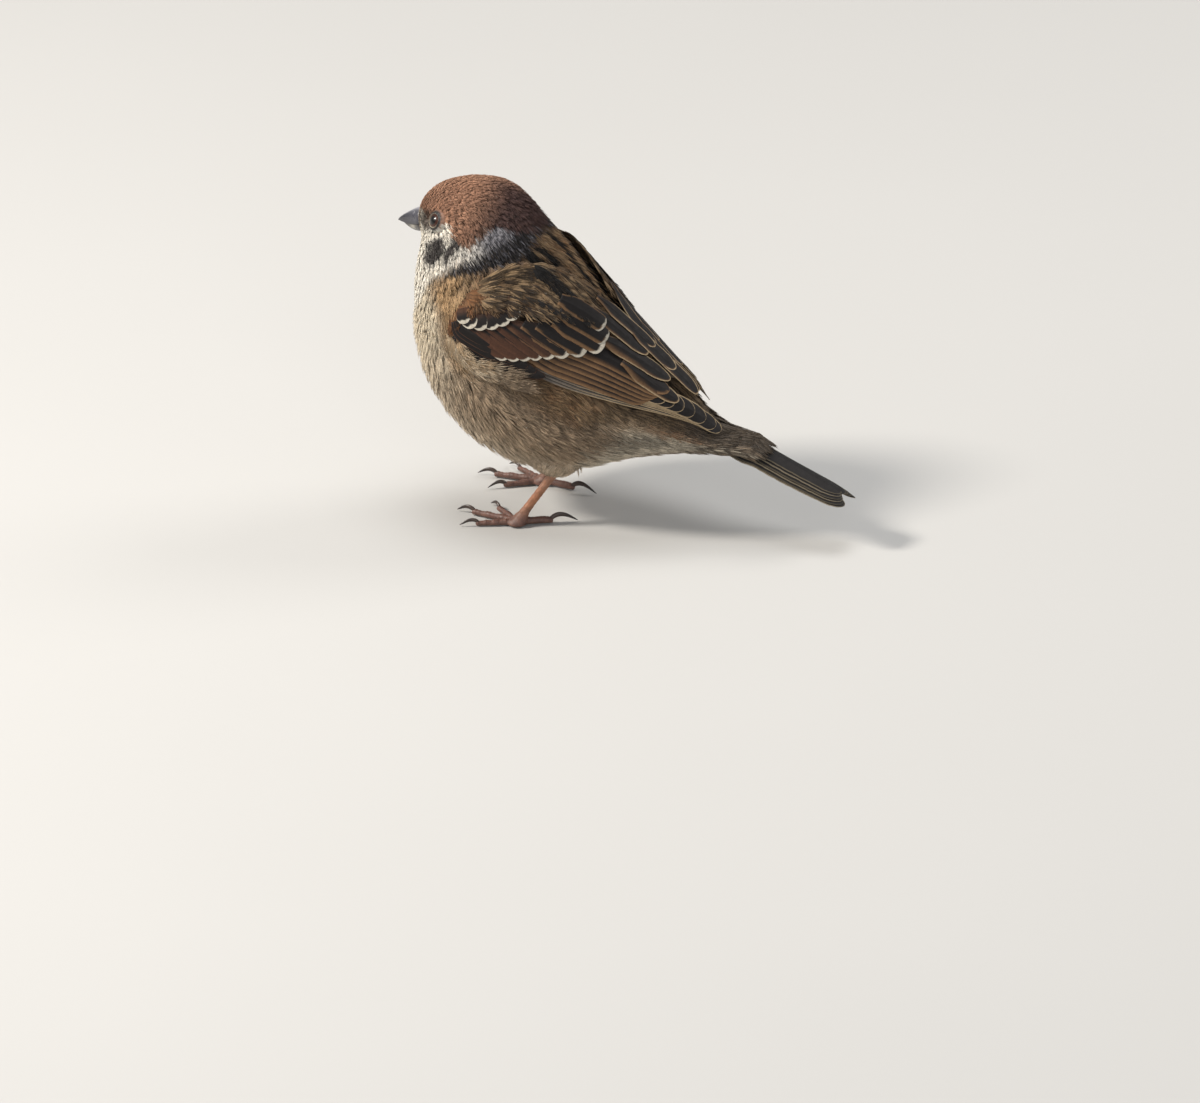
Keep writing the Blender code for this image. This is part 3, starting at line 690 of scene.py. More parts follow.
def inks(u, w, seed):
    """Feather colours at section u and w degrees from the middle of the back."""
    rng = np.random.default_rng(seed)
    n = len(u)
    u = u + rng.normal(0, 0.03, n)
    w = w + rng.normal(0, 0.9, n)
    one = np.ones(n)

    def full(name):
        return np.broadcast_to(INK[name], (n, 3)).copy()

    # underparts: cream in front, browner on the flanks, paler down the middle
    col = mix(full("flank"), full("belly"), smoothstep((w - 108) / 42))
    col = mix(col, full("cream"), smoothstep((8.8 - u) / 2.6) * smoothstep((w - 96) / 20))
    col = mix(col, full("wash"), 0.75 * band(u, 4.9, 7.8, 0.9) * band(w, 74, 104, 16))
    pale_vent = smoothstep((u - 11.2) / 0.9) * smoothstep((w - np.interp(u, (10.5, 11.8, 13.0), (84, 62, 60))) / 14)
    col = mix(col, full("vent"), pale_vent)
    shaft = col * 0.74
    streaky = band(u, 9.4, 12.4, 1.2) * band(w, 72, 112, 14)
    shaft_w = 0.10 + 0.16 * streaky
    tip = np.clip(col * 1.10, 0, 1)
    tip_w = 0.18 * one
    under = smoothstep((u - 12.4) / 0.8) * smoothstep((w - 100) / 20)
    col = mix(col, full("vent_dark"), 0.45 * smoothstep((u - 13.6) / 1.0))
    tip = mix(tip, col, smoothstep((u - 13.6) / 1.0))
    shaft = mix(shaft, full("vent_dark"), np.maximum(under, 0.5 * streaky))
    shaft_w = np.where(under > 0.5, 0.34, shaft_w)
    rust = band(u, 12.2, 14.0, 0.6) * band(w, 50, 66, 10)
    col = mix(col, full("rust") * 0.8, 0.6 * rust)
    col = col * (1 - 0.30 * smoothstep((u - 13.2) / 0.9))[:, None]
    tip = tip * (1 - 0.30 * smoothstep((u - 13.2) / 0.9))[:, None]
    end_tail = smoothstep((u - 13.3) / 0.9) * (1 - smoothstep((w - 132) / 14))
    col = mix(col, full("tail_covert") * 0.8, 0.75 * end_tail)
    tip = mix(tip, full("tail_covert") * 0.8, 0.75 * end_tail)
    # painted shade: the flank is darkest along the folded wing's lower edge, partly its own darker tone and partly the
    # wing's shadow painted in
    shade = band(u, 8.6, 13.2, 1.2) * band(w, 76, 92, 9) * (0.7 + 0.3 * patchy(u, w, 8.0))
    col = col * (1 - 0.42 * shade)[:, None]
    tip = tip * (1 - 0.42 * shade)[:, None]

    # back: buff brown with bands of black streaks, plainer toward the tail
    back = 1 - smoothstep((w - np.interp(u, (10.5, 11.8, 13.0), (74, 54, 50))) / 16)
    back = back * smoothstep((u - 5.35) / 0.3)
    mantle = mix(full("mantle"), full("mantle_pale"), 0.85 * patchy(u, w, 1.0))
    mantle = mix(mantle, full("rust"), 0.35 * smoothstep((patchy(u, w, 4.0) - 0.62) / 0.2))
    mantle = mix(mantle, full("nape_dark"), 0.45 * band(w, 38, 66, 12) * band(u, 5.7, 7.6, 0.8))
    mantle = mix(mantle, full("rump"), smoothstep((u - 10.2) / 1.0))
    mantle = mix(mantle, full("tail_covert"), smoothstep((u - 12.4) / 0.8))
    mantle = mix(mantle, full("tail_covert") * 0.62, smoothstep((u - 13.7) / 1.0))
    outer = np.interp(u, (5.4, 5.9, 6.4, 6.85, 7.6), (28.0, 30.5, 30.5, 28.5, 28.5))
    inner = np.interp(u, (5.8, 6.4, 7.0, 7.6, 8.6, 9.6), (21.0, 19.5, 16.5, 13.6, 10.4, 9.0))
    streaks = np.maximum.reduce([
        band(w, outer - 4.6, outer + 4.6, 2.4) * band(u, 5.4, 8.6, 0.25),
        band(w, inner - 3.4, inner + 3.4, 2.4) * band(u, 6.0, 10.2, 0.3),
        band(w, -9, 2.6, 2.2) * band(u, 5.9, 10.0, 0.4),
        0.75 * band(w, 42, 49, 3.0) * band(u, 5.9, 8.2, 0.4) * smoothstep((patchy(2 * u, w, 2.0) - 0.3) / 0.2),
        0.7 * band(w, 56, 62, 3.0) * band(u, 6.0, 7.6, 0.4) * smoothstep((patchy(2 * u, w, 5.0) - 0.3) / 0.2),
    ])
    dark = full("streak")
    col = mix(col, mantle, back)
    shaft = mix(shaft, mantle * 0.55, back)
    shaft_w = np.where(back > 0.5, 0.20, shaft_w)
    tip = mix(tip, mix(mantle, full("mantle_pale"), 0.35), back)
    tip_w = np.where(back > 0.5, 0.14, tip_w)
    col = mix(col, dark, streaks * back)
    shaft = mix(shaft, dark * 0.8, streaks * back)
    tip = mix(tip, mix(dark, mantle, 0.22), streaks * back)

    # dark, mottled foot of the nape and the grey-white sides of the hind neck
    end = np.interp(w, (0, 60, 68, 75, 82, 90, 97, 104, 120, 180), (5.34, 5.30, 5.20, 5.12, 4.98, 4.84, 4.62, 4.52, 4.6, 4.7))
    foot = np.interp(w, (0, 20, 32, 40, 55, 73, 85, 95), (5.85, 5.95, 6.05, 6.08, 5.9, 5.5, 5.08, 4.6))
    dim = smoothstep((u - end) / 0.14 + 0.5) * smoothstep((foot - u) / 0.22 + 0.5) * (1 - smoothstep((w - 86) / 6))
    col = mix(col, mix(full("nape_dark"), full("nape_grey"), 0.80 * smoothstep((patchy(2 * u, 1.5 * w, 3.0) - 0.25) / 0.5)), dim)
    tip = mix(tip, full("nape_grey"), dim * 0.40)
    shaft = mix(shaft, dark, dim)
    shaft_w = np.where(dim > 0.5, 0.34, shaft_w)

    # throat, cheeks and collar
    edge = crown_edge(u)
    pale = smoothstep((w - edge) / 2.4 + 0.5) * smoothstep((end - u) / 0.30 + 0.5)
    white = mix(full("white"), full("collar"), smoothstep((u - 4.5) / 0.6))
    col = mix(col, white, pale)
    grey = band(u, 5.0, np.interp(w, (24, 40, 66), (5.50, 5.52, 5.34)), 0.20) * band(w, 26, 68, 8)
    col = mix(col, mix(full("nape_grey"), full("collar"), 0.05 + 0.80 * smoothstep((w - 46) / 20)), grey)
    clean = np.maximum(pale, grey)
    shaft = mix(shaft, col * 0.86, clean)
    shaft_w = np.where(clean > 0.5, 0.06, shaft_w)
    tip = mix(tip, np.clip(col * 1.05, 0, 1), clean)

    # cap
    hind = crown_back(w)
    cap = smoothstep((edge - w) / 2.4 + 0.5) * smoothstep((hind - u) / 0.16 + 0.5)
    # painted shade: the cap darkens toward its rear, partly its own darker tone and partly shade painted in
    tone = smoothstep((u - 3.7 + (30 - w) / 55) / 1.5)
    cap_col = mix(full("crown"), full("crown_dark_and_shade"), tone)
    cap_col = cap_col * (0.93 + 0.14 * patchy(1.6 * u, 2.2 * w, 6.0))[:, None]
    col = mix(col, cap_col, cap)
    shaft = mix(shaft, cap_col * 0.78, cap)
    shaft_w = np.where(cap > 0.5, 0.14, shaft_w)
    tip = mix(tip, mix(cap_col, full("crown_tip"), 0.30 - 0.22 * tone), cap)
    tip_w = np.where(cap > 0.5, 0.20, tip_w)

    # dark lores, rim of the eye, ear spot, painted shadow in the fold behind the cheek, and bib
    tuft = band(u, -1, np.interp(w, (30, 60, 90), (0.7, 1.5, 1.3)), 0.4) * band(w, 34, 100, 14)
    col = mix(col, full("tuft"), 0.85 * tuft)
    lore = band(u, np.interp(w, (55, 80), (1.8, 1.5)), 3.05, 0.5) * band(w, 57, 77, 6)
    below = band(u, 2.3, 3.45, 0.3) * band(w, 70, 76.5 - 2.0 * np.clip(u - 2.8, 0, 2), 4)
    pu, pw = u - 3.93, (w - 87.0) / 16
    level_h, plumb = (0.875 * pu - 0.30 * pw) / 1.009, (0.86 * pw + 0.856 * pu) / 1.009
    oval = (np.abs(level_h / 0.50) ** 2.4 + np.abs(plumb / 0.58) ** 2.4) ** (1 / 2.4)
    ear = smoothstep((1.0 - oval) / 0.34 + 0.5) * (0.62 + 0.38 * np.maximum(smoothstep((level_h + 0.22) / 0.2), smoothstep((patchy(1.2 * u, 3.0 * w, 7.0) - 0.3) / 0.3)))
    # painted shadow: a dark crescent where the cheek's rear edge stands proud of the neck
    cheek_fold_shadow = band(u, 4.42, 4.74, 0.14) * band(w, 66, 83, 4)
    bib = smoothstep((w - np.interp(u, (1.0, 3.4), (132, 146)) + 8 * (patchy(u, w, 9.0) - 0.5)) / 9 + 0.5) * smoothstep((3.55 - u) / 0.5)
    chin = band(u, -1, 1.0, 0.3) * smoothstep((w - 98) / 8)
    patch = np.maximum.reduce([0.85 * lore, 0.85 * below, 0.95 * ear, 0.95 * cheek_fold_shadow, bib, 0.8 * chin])
    ink = mix(full("ear"), full("bib"), bib)
    ink = mix(ink, full("lore") * 0.55, below)
    ink = mix(ink, full("lore"), lore)
    col = mix(col, ink, patch)
    shaft = mix(shaft, ink * 0.8, patch)
    tip = mix(tip, mix(ink, white, 0.10 * (1 - np.maximum(lore, bib))), patch)

    front = smoothstep((9.5 - u) / 2.5) * smoothstep((w - 80) / 20)
    root = mix(full("down"), col, np.clip(0.45 + 0.47 * clean + 0.45 * cap + 0.42 * front, 0, 0.93))
    return {"main": col, "root": root, "shaft": shaft, "shaft_w": shaft_w, "tip": tip, "tip_w": tip_w, "shift": 0 * one}


def crown_edge(u):
    """How far down the side of the head, in degrees, the chestnut reaches."""
    return np.interp(u, (0, 1.3, 1.8, 2.5, 3.0, 3.35, 3.55, 3.75, 4.1, 4.25, 4.36, 4.55, 4.8, 5.2), (44, 50, 60, 66, 70, 71, 66, 63.5, 65, 69, 68.5, 67.5, 66, 60))


def crown_back(w):
    """The section at which the chestnut ends on the nape."""
    return np.interp(w, (0, 10, 15, 22, 27, 30, 34, 40, 50, 62, 72), (5.80, 5.76, 5.70, 5.58, 5.45, 5.28, 5.10, 5.02, 5.04, 5.0, 4.72))


# ---- where the body feathers are rooted


def scatter(sheet, na, nb, gap, seed, a0=0.0, a1=1.0):
    """Roots spread at random on a sheet, no nearer to each other than gap(a, b) mm."""
    rng = np.random.default_rng(seed)
    lo, hi, b0, b1 = sheet.lim
    qa, qb = np.meshgrid(lo + (hi - lo) * (np.arange(na) + 0.5) / na, b0 + (b1 - b0) * (np.arange(nb) + 0.5) / nb, indexing="ij")
    _, _, sa, sb, _ = sheet.read(qa, qb)
    area = np.linalg.norm(np.cross(sa, sb), axis=-1) * (hi - lo) / na * (b1 - b0) / nb
    want = (4.2 * area / gap(qa, qb) ** 2).ravel()
    cell = rng.choice(na * nb, int(want.sum()), p=want / want.sum())
    a = qa.ravel()[cell] + (rng.random(len(cell)) - 0.5) * (hi - lo) / na
    b = qb.ravel()[cell] + (rng.random(len(cell)) - 0.5) * (b1 - b0) / nb
    p = sheet.read(a, b)[0]
    tree = kdtree.KDTree(len(p))
    for i, q in enumerate(p):
        tree.insert(q, i)
    tree.balance()
    r = gap(a, b)
    dead = np.zeros(len(p), bool)
    keep = []
    for i in range(len(p)):
        if not dead[i]:
            keep.append(i)
            for _, j, _ in tree.find_range(p[i], r[i]):
                dead[j] = True
    keep = np.array(keep)
    return a[keep], b[keep]


def degrees_from_back(v):
    return np.abs(np.degrees(np.mod(v + np.pi, 2 * np.pi) - np.pi))


root_u, root_v = scatter(body_sheet, 150, 120, lambda u, v: feather_gap(u, degrees_from_back(v)) * 0.92, 11)
root_w = degrees_from_back(root_v)
root_p, root_n, root_su, _, _ = body_sheet.read(root_u, root_v)

# leave bare what the folded wings hide, and a patch on the middle of the lower back
hidden = np.zeros(len(root_u), bool)
for _side, _sheet in wing_sheets.items():
    _s = np.linspace(0.05, 0.93, 60)[:, None] + np.zeros((1, 24))
    _t = np.linspace(0.10, 0.90, 24)[None, :] + np.zeros((60, 1))
    _q = _sheet.read(_s, _t)[0].reshape(-1, 3)
    _tree = kdtree.KDTree(len(_q))
    for _i, _x in enumerate(_q):
        _tree.insert(_x, _i)
    _tree.balance()
    hidden |= np.array([_tree.find(x)[2] < 1.15 for x in root_p])
hidden |= (root_u > 9.8) & (root_u < 11.1) & (root_w < 30)
# room for the eyes
for _c, _look in EYES.values():
    _d = root_p - _c
    _off = np.linalg.norm(_d - (_d * _look).sum(-1, keepdims=True) * _look, axis=-1)
    hidden |= (_off < 1.93) & ((_d * _look).sum(-1) > 0)
root_u, root_v, root_w, root_p, root_n, root_su = (
    x[~hidden] for x in (root_u, root_v, root_w, root_p, root_n, root_su)
)

# the lie: back from the bill and down to the tail, parting round the eye
lie = unit(root_su)
rng = np.random.default_rng(3)
lie = lie + rng.normal(0, 0.045, lie.shape)
length = feather_length(root_u, root_w) * rng.uniform(0.85, 1.15, len(root_u))
for _c, _look in EYES.values():
    _d = root_p - _c
    _d = _d - (_d * _look).sum(-1, keepdims=True) * _look
    _far = np.linalg.norm(_d, axis=-1)
    _near = smoothstep((5.0 - _far) / 2.6) * ((root_p - _c) * _look).sum(-1).clip(0, 1)
    _ahead = np.maximum(0, -(unit(_d) * lie).sum(-1))
    _around = unit(lie + unit(_d) * (_near * (0.6 + 1.2 * _ahead))[:, None])
    lie = np.where((_near > 0)[:, None], _around, lie)
    length = np.where(_near > 0, length * (1 - 0.45 * _near * _ahead), length)
# the cheek's feathers sweep down, and the flank's sweep up over the wing's edge
down = band(root_u, 2.6, 4.8, 0.8) * band(root_w, 72, 112, 16)
lie = lie + down[:, None] * np.array([0, 0.0, -0.35])
sweep = band(root_u, 6.6, 10.5, 1.2) * band(root_w, 84, 104, 10)
lie = lie + sweep[:, None] * np.array([0, 0.25, 0.22])
half = feather_half_width(root_u, root_w) * rng.uniform(0.9, 1.1, len(root_u))
# the coverts end a little way past the body, where the tail's own quills take over
_steps = np.concatenate([[0], np.cumsum(np.linalg.norm(np.diff(CENTRE_LINE, axis=0), axis=-1))])
_left = _steps[-1] - np.interp(root_u, GRID_U, _steps)
length = np.minimum(length, np.maximum(_left + np.interp(root_w, (0, 60, 100, 180), (5.4, 4.6, 4.0, 4.6)), 3.4))

COAT = [  # name, material slot, barbs, where
    ("face", "crown_plumage", 8, lambda u, v, w: u < 2.3),
    ("crown", "crown_plumage", 11, lambda u, v, w: (u >= 2.3) & (u < 5.5) & (w < 72)),
    ("cheeks", "neck_plumage", 11, lambda u, v, w: (u >= 2.3) & (u < 5.0) & (w >= 72)),
    ("neck", "neck_plumage", 13, lambda u, v, w: (u >= 5.0) & (u < 6.6) & ((w >= 72) | (u >= 5.5))),
    ("mantle", "body_plumage", 15, lambda u, v, w: (u >= 6.6) & (u < 12.0) & (w < 78)),
    ("breast", "body_plumage", 13, lambda u, v, w: (u >= 6.6) & (u < 8.7) & (w >= 78)),
    ("belly", "body_plumage", 14, lambda u, v, w: (u >= 8.7) & (u < 10.4) & (w >= 78)),
    ("flanks", "body_plumage", 14, lambda u, v, w: (u >= 10.4) & (u < 12.0) & (w >= 78)),
    ("rump", "body_plumage", 13, lambda u, v, w: u >= 12.0),
]

# ---- materials


def new_material(name):
    m = bpy.data.materials.new(name)
    m.use_nodes = True
    t = m.node_tree
    t.nodes.clear()
    out = t.nodes.new("ShaderNodeOutputMaterial")
    s = t.nodes.new("ShaderNodeBsdfPrincipled")
    t.links.new(s.outputs["BSDF"], out.inputs["Surface"])
    return m, t, s


def node(t, kind, **values):
    n = t.nodes.new(kind)
    for key, value in values.items():
        if key in n.inputs:
            n.inputs[key].default_value = value
        else:
            setattr(n, key, value)
    return n


def noise(t, scale, detail=3.0, rough=0.55, vector=None):
    n = node(t, "ShaderNodeTexNoise", Scale=scale, Detail=detail, Roughness=rough)
    if vector is None:
        vector = node(t, "ShaderNodeTexCoord").outputs["Object"]
    t.links.new(vector, n.inputs["Vector"])
    return n.outputs["Fac"]


def remap(t, value, a, b, c, d):
    n = node(t, "ShaderNodeMapRange")
    for i, x in enumerate((a, b, c, d)):
        n.inputs[i + 1].default_value = x
    t.links.new(value, n.inputs[0])
    return n.outputs[0]


def math_node(t, op, a, b=None):
    n = node(t, "ShaderNodeMath", operation=op)
    for i, x in enumerate((a, b)):
        if x is None:
            continue
        if isinstance(x, (int, float)):
            n.inputs[i].default_value = x
        else:
            t.links.new(x, n.inputs[i])
    return n.outputs[0]


def scaled(t, colour, factor):
    """A colour output times a value output."""
    n = node(t, "ShaderNodeVectorMath", operation="SCALE")
    t.links.new(colour, n.inputs[0])
    t.links.new(factor, n.inputs["Scale"])
    return n.outputs[0]


def plumage_material(name, rough, sheen, shine, barbs):
    """Feather: the colours painted on its points, broken up by fine barbs that run off the shaft."""
    m, t, s = new_material(name)
    ink = node(t, "ShaderNodeAttribute", attribute_name="Plumage")
    fine = remap(t, noise(t, 2600.0, 2.0), 0.3, 0.7, 0.84, 1.14)
    broad = remap(t, noise(t, 420.0, 3.0), 0.3, 0.7, 0.90, 1.10)
    factor = math_node(t, "MULTIPLY", fine, broad)
    bump_height = noise(t, 3200.0, 2.0)
    if barbs:
        vane = node(t, "ShaderNodeAttribute", attribute_name="vane")
        parts = node(t, "ShaderNodeSeparateXYZ")
        t.links.new(vane.outputs["Vector"], parts.inputs[0])
        out = math_node(t, "ABSOLUTE", parts.outputs["X"])
        run = math_node(t, "SUBTRACT", parts.outputs["Y"], math_node(t, "MULTIPLY", out, 1.5))
        wobble = math_node(t, "MULTIPLY", noise(t, 900.0, 2.0), 0.5)
        wave = math_node(t, "SINE", math_node(t, "MULTIPLY", math_node(t, "ADD", run, wobble), 2 * math.pi / 0.30))
        factor = math_node(t, "MULTIPLY", factor, remap(t, wave, -1.0, 1.0, 0.93, 1.06))
        bump_height = math_node(t, "ADD", math_node(t, "MULTIPLY", bump_height, 0.4), remap(t, wave, -1.0, 1.0, 0.0, 0.5))
    t.links.new(scaled(t, ink.outputs["Color"], factor), s.inputs["Base Color"])
    bump = node(t, "ShaderNodeBump", Strength=0.35, Distance=0.00006)
    t.links.new(bump_height, bump.inputs["Height"])
    t.links.new(bump.outputs["Normal"], s.inputs["Normal"])
    t.links.new(remap(t, noise(t, 700.0, 2.0), 0.3, 0.7, rough - 0.07, rough + 0.07), s.inputs["Roughness"])
    s.inputs["Sheen Weight"].default_value = sheen
    s.inputs["Sheen Roughness"].default_value = 0.45
    s.inputs["Specular IOR Level"].default_value = shine
    return m


soft_mat = plumage_material("soft_plumage", 0.80, 0.04, 0.25, False)
vane_mat = plumage_material("quill_plumage", 0.60, 0.0, 0.20, True)


# ---- coat of the body

made = {}
TURN = np.linspace(0, 1, 3)
for _i, (_name, _slot, _barbs, _where) in enumerate(COAT):
    _m = _where(root_u, root_v, root_w)
    _u, _v = root_u[_m], root_v[_m]
    if _name in ("face", "crown", "cheeks", "neck", "mantle"):

        def _ink(a, b, seed=40 + _i):
            return inks(a, degrees_from_back(b), seed)

    else:
        # a feather shows by its outer half, so its colour is that of where this lies
        _a, _b = body_sheet.walk(_u, _v, unit(lie[_m]) * (0.55 * length[_m])[:, None])
        _ink = inks(_a, degrees_from_back(_b), 40 + _i)
    _w = root_w[_m]
    _hairy = smoothstep((_w - 78) / 14) * smoothstep((_u - 5.0) / 1.5)
    _pile = Pile()
    fans(
        _pile, body_sheet, _u, _v, lie[_m], length[_m], half[_m], _barbs, _ink, 60 + _i,
        rise=(0.12, 0.97), lift=0.012 + 0.035 * _hairy * rng.random(len(_u)), cup=0.10 if _u.mean() < 5 else 0.18,
        ragged={"face": 0.30, "crown": 0.36, "cheeks": 0.32, "neck": 0.30, "mantle": 0.22}.get(_name),
        bumps=0.02 if _name in ("face", "crown", "cheeks") else 0.04,
        loose={"face": 0.03, "crown": 0.03, "cheeks": 0.06, "neck": 0.09, "mantle": 0.04, "rump": 0.06}.get(_name, 0.12),
        curl={"breast": 0.4, "belly": 0.4, "flanks": 0.4, "crown": 0.06, "face": 0.04, "rump": 0.05}.get(_name, 0.12),
        fat={"mantle": 1.3, "crown": 1.3, "face": 1.3, "cheeks": 1.2, "rump": 1.2}.get(_name, 1.1),
        tones=(0.10, 0.03) if _name in ("crown", "face") else (0.06, 0.03) if _name == "cheeks" else (0.08, 0.05),
    )
    made["coat_" + _name] = _pile.make("coat_" + _name, soft_mat)


# ---- thighs: loose feathers round an egg that swells out of the belly


def thigh_surface(side, f, g, grow=0.0):
    """f runs from the front of the egg to its rear, g round it from the top."""
    c = shank_point(side, THIGH_CENTRE_Z) + np.array([0, -3.4, 0.0])
    a, b, h = (x + grow for x in THIGH_SIZE)
    p = math.radians(-THIGH_PITCH)
    y, r = -np.cos(f) * b, np.sin(f)
    x, z = a * r * np.sin(g), h * r * np.cos(g)
    return c + np.stack([x, y * math.cos(p) - z * math.sin(p), y * math.sin(p) + z * math.cos(p)], -1)


thigh_pile = Pile()
for _side in "LR":
    _f = np.linspace(0.25, math.pi - 0.25, 60)[:, None]
    _g = np.linspace(-math.pi, math.pi, 72, endpoint=False)[None, :]
    _p = thigh_surface(_side, _f, _g, -0.2)
    _mid = _p.mean((0, 1))
    _sheet = Sheet(0.25, math.pi - 0.25, -math.pi, math.pi, _p, lambda p, c=_mid: p - c, np.full((60, 72), 1.1), wrap=True)
    _sheet.skin_below = True
    _a, _b = scatter(_sheet, 30, 40, lambda f, g: 0.85 + 0 * f, 21)
    _q = _sheet.read(_a, _b)[0]
    _low = _q[:, 2] < 19.5
    _a, _b, _q = _a[_low], _b[_low], _q[_low]
    _n = len(_a)
    _r = np.random.default_rng(22)
    _c = mix(np.broadcast_to(INK["flank"], (_n, 3)), np.broadcast_to(INK["belly"], (_n, 3)), 0.3 + 0.5 * _r.random(_n))
    _aim = shank_point(_side, 9.5) - _q
    _ink = {"main": _c, "root": _c * 0.6, "shaft": _c * 0.8, "shaft_w": np.full(_n, 0.1), "tip": np.clip(_c * 1.12, 0, 1), "tip_w": np.full(_n, 0.2)}
    fans(thigh_pile, _sheet, _a, _b, unit(_aim) + _r.normal(0, 0.12, (_n, 3)), _r.uniform(3.0, 4.4, _n), np.full(_n, 0.95), 11, _ink, 23,
         rise=(0.0, 1.0), lift=0.0, loose=0.16, curl=0.3, uv=(_a / math.pi * 0.45 + (0.5 if _side == "R" else 0.0), (_b + math.pi) / (2 * math.pi)))
made["coat_thighs"] = thigh_pile.make("coat_thighs", soft_mat)

# ---- quill feathers: closed vanes with a shaft, painted by distance from their edge

COLS = np.array([-1, -0.94, -0.86, -0.74, -0.58, -0.36, -0.07, 0, 0.07, 0.36, 0.58, 0.74, 0.86, 0.94, 1.0])
ROWS = 1 - (1 - np.linspace(0, 1, 34)) ** 1.45


def blade_faces(rows, cols):
    """Top grid rows x cols, then one line of points under the shaft; the edges are shared."""
    i = np.arange(rows - 1)[:, None] * cols
    j = np.arange(cols - 1)[None, :]
    a = (i + j).ravel()
    top = np.concatenate([np.stack([a, a + 1, a + cols + 1], -1), np.stack([a, a + cols + 1, a + cols], -1)])
    r = np.arange(rows - 1)
    l0, l1 = r * cols, (r + 1) * cols
    r0, r1 = l0 + cols - 1, l1 + cols - 1
    m0, m1 = rows * cols + r, rows * cols + r + 1
    under = np.concatenate([
        np.stack([l0, l1, m1], -1), np.stack([l0, m1, m0], -1),
        np.stack([m0, m1, r1], -1), np.stack([m0, r1, r0], -1),
    ])
    caps = []
    for row, m in ((0, rows * cols), ((rows - 1), rows * cols + rows - 1)):
        for c in range(cols - 1):
            tri = [row * cols + c, m, row * cols + c + 1]
            caps.append(tri if row == 0 else tri[::-1])
    return np.concatenate([top, under, np.array(caps)])


BLADE = blade_faces(len(ROWS), len(COLS))


def blade(pile, sheet, start, end, half, height, cell, paint, seed, tilt=0.3, sag=0.0, base=0.35, round_tip=0.16,
          bow=0.0, thick=0.07, narrow=0.0, point=2.0, dome=0.12):
    """One quill from start to end, both (along, across) on the sheet.

    height is where it lies above the sheet at its root and tip, in mm; tilt
    raises its lower edge over its upper one, so that neighbours lap like tiles.
    """
    rng = np.random.default_rng(seed)
    a = ROWS[:, None]
    ca = start[0] + (end[0] - start[0]) * a
    cb = start[1] + (end[1] - start[1]) * a + bow * np.sin(np.pi * a)
    p, n, sa, sb, _ = sheet.read(ca, cb)
    step = np.gradient(p[:, 0], axis=0)
    run = np.concatenate([[0], np.cumsum(np.linalg.norm(np.diff(p[:, 0], axis=0), axis=-1))])[:, None]
    size = run[-1, 0]
    e1 = unit(step)[:, None]
    e2 = np.cross(n, e1)
    hand = np.sign(np.median((e2 * sb).sum(-1)))
    e2 = e2 * hand
    grow = base + (1 - base) * smoothstep(a / 0.35) - narrow * smoothstep((a - 0.4) / 0.5)
    tip_at = 1 - min(0.5, round_tip * 1.0)
    tail = np.clip((a - tip_at) / (1 - tip_at), 0, 1)
    hw = half * grow * np.power(np.clip(1 - tail**point, 0, 1), 1 / 2.0)
    hw = np.maximum(hw, 0.05)
    b = COLS[None, :]
    ragged = 1 + rng.normal(0, 0.012, (len(ROWS), 1)) * (np.abs(b) > 0.8)
    x = hw * b * ragged
    qa, qb = sheet.walk(ca + 0 * x, cb + 0 * x, e2 * x[..., None])
    p, n, _, _, depth = sheet.read(qa, qb)
    over = np.maximum(0, qa - sheet.lim[1])
    p = p + sa * over[..., None]
    h = height[0] + (height[1] - height[0]) * smoothstep(a) + sag * a**2
    ridge = 0.10 * np.exp(-((b / 0.07) ** 2)) * (1 - 0.8 * a)
    h = h - tilt * (b + 1) / 2 * np.minimum(1, hw / half) + ridge + dome * (1 - b * b) * (hw / half)
    top = p + n * h[..., None]
    mid = p[:, len(COLS) // 2] + n[:, len(COLS) // 2] * (h[:, len(COLS) // 2] - thick - 0.10)[:, None]
    v = np.concatenate([top.reshape(-1, 3), mid])
    rim = np.minimum((1 - np.abs(b)) * hw, (1 - a) * size * 0.9)
    colour = paint(a + 0 * b, b + 0 * a, x, rim, (1 - a) * size + 0 * b, rng)
    colour = colour * (1 + 0.05 * np.sin(run * 5.0 + 6 * b)[..., None] * 0.5)
    # painted shade: the points under the shaft are a fifth darker than the top
    under = colour[:, len(COLS) // 2] * 0.8
    c = np.concatenate([colour.reshape(-1, 3), under])
    u0, v0, du, dv = cell
    uv_top = np.stack([u0 + du * (0.04 + 0.92 * a + 0 * b), v0 + dv * (0.06 + 0.70 * (b + 1) / 2 + 0 * a)], -1)
    uv_mid = np.stack([u0 + du * (0.04 + 0.92 * a[:, 0]), np.full(len(ROWS), v0 + dv * 0.92)], -1)
    uv = np.concatenate([uv_top.reshape(-1, 2), uv_mid])
    vane = np.concatenate([np.stack([x, run + 0 * x, 0 * x], -1).reshape(-1, 3), np.stack([0 * a[:, 0], run[:, 0], 0 * a[:, 0]], -1)])
    f = BLADE[:, ::-1] if hand > 0 else BLADE
    pile.add(v, f, c, uv, vane)


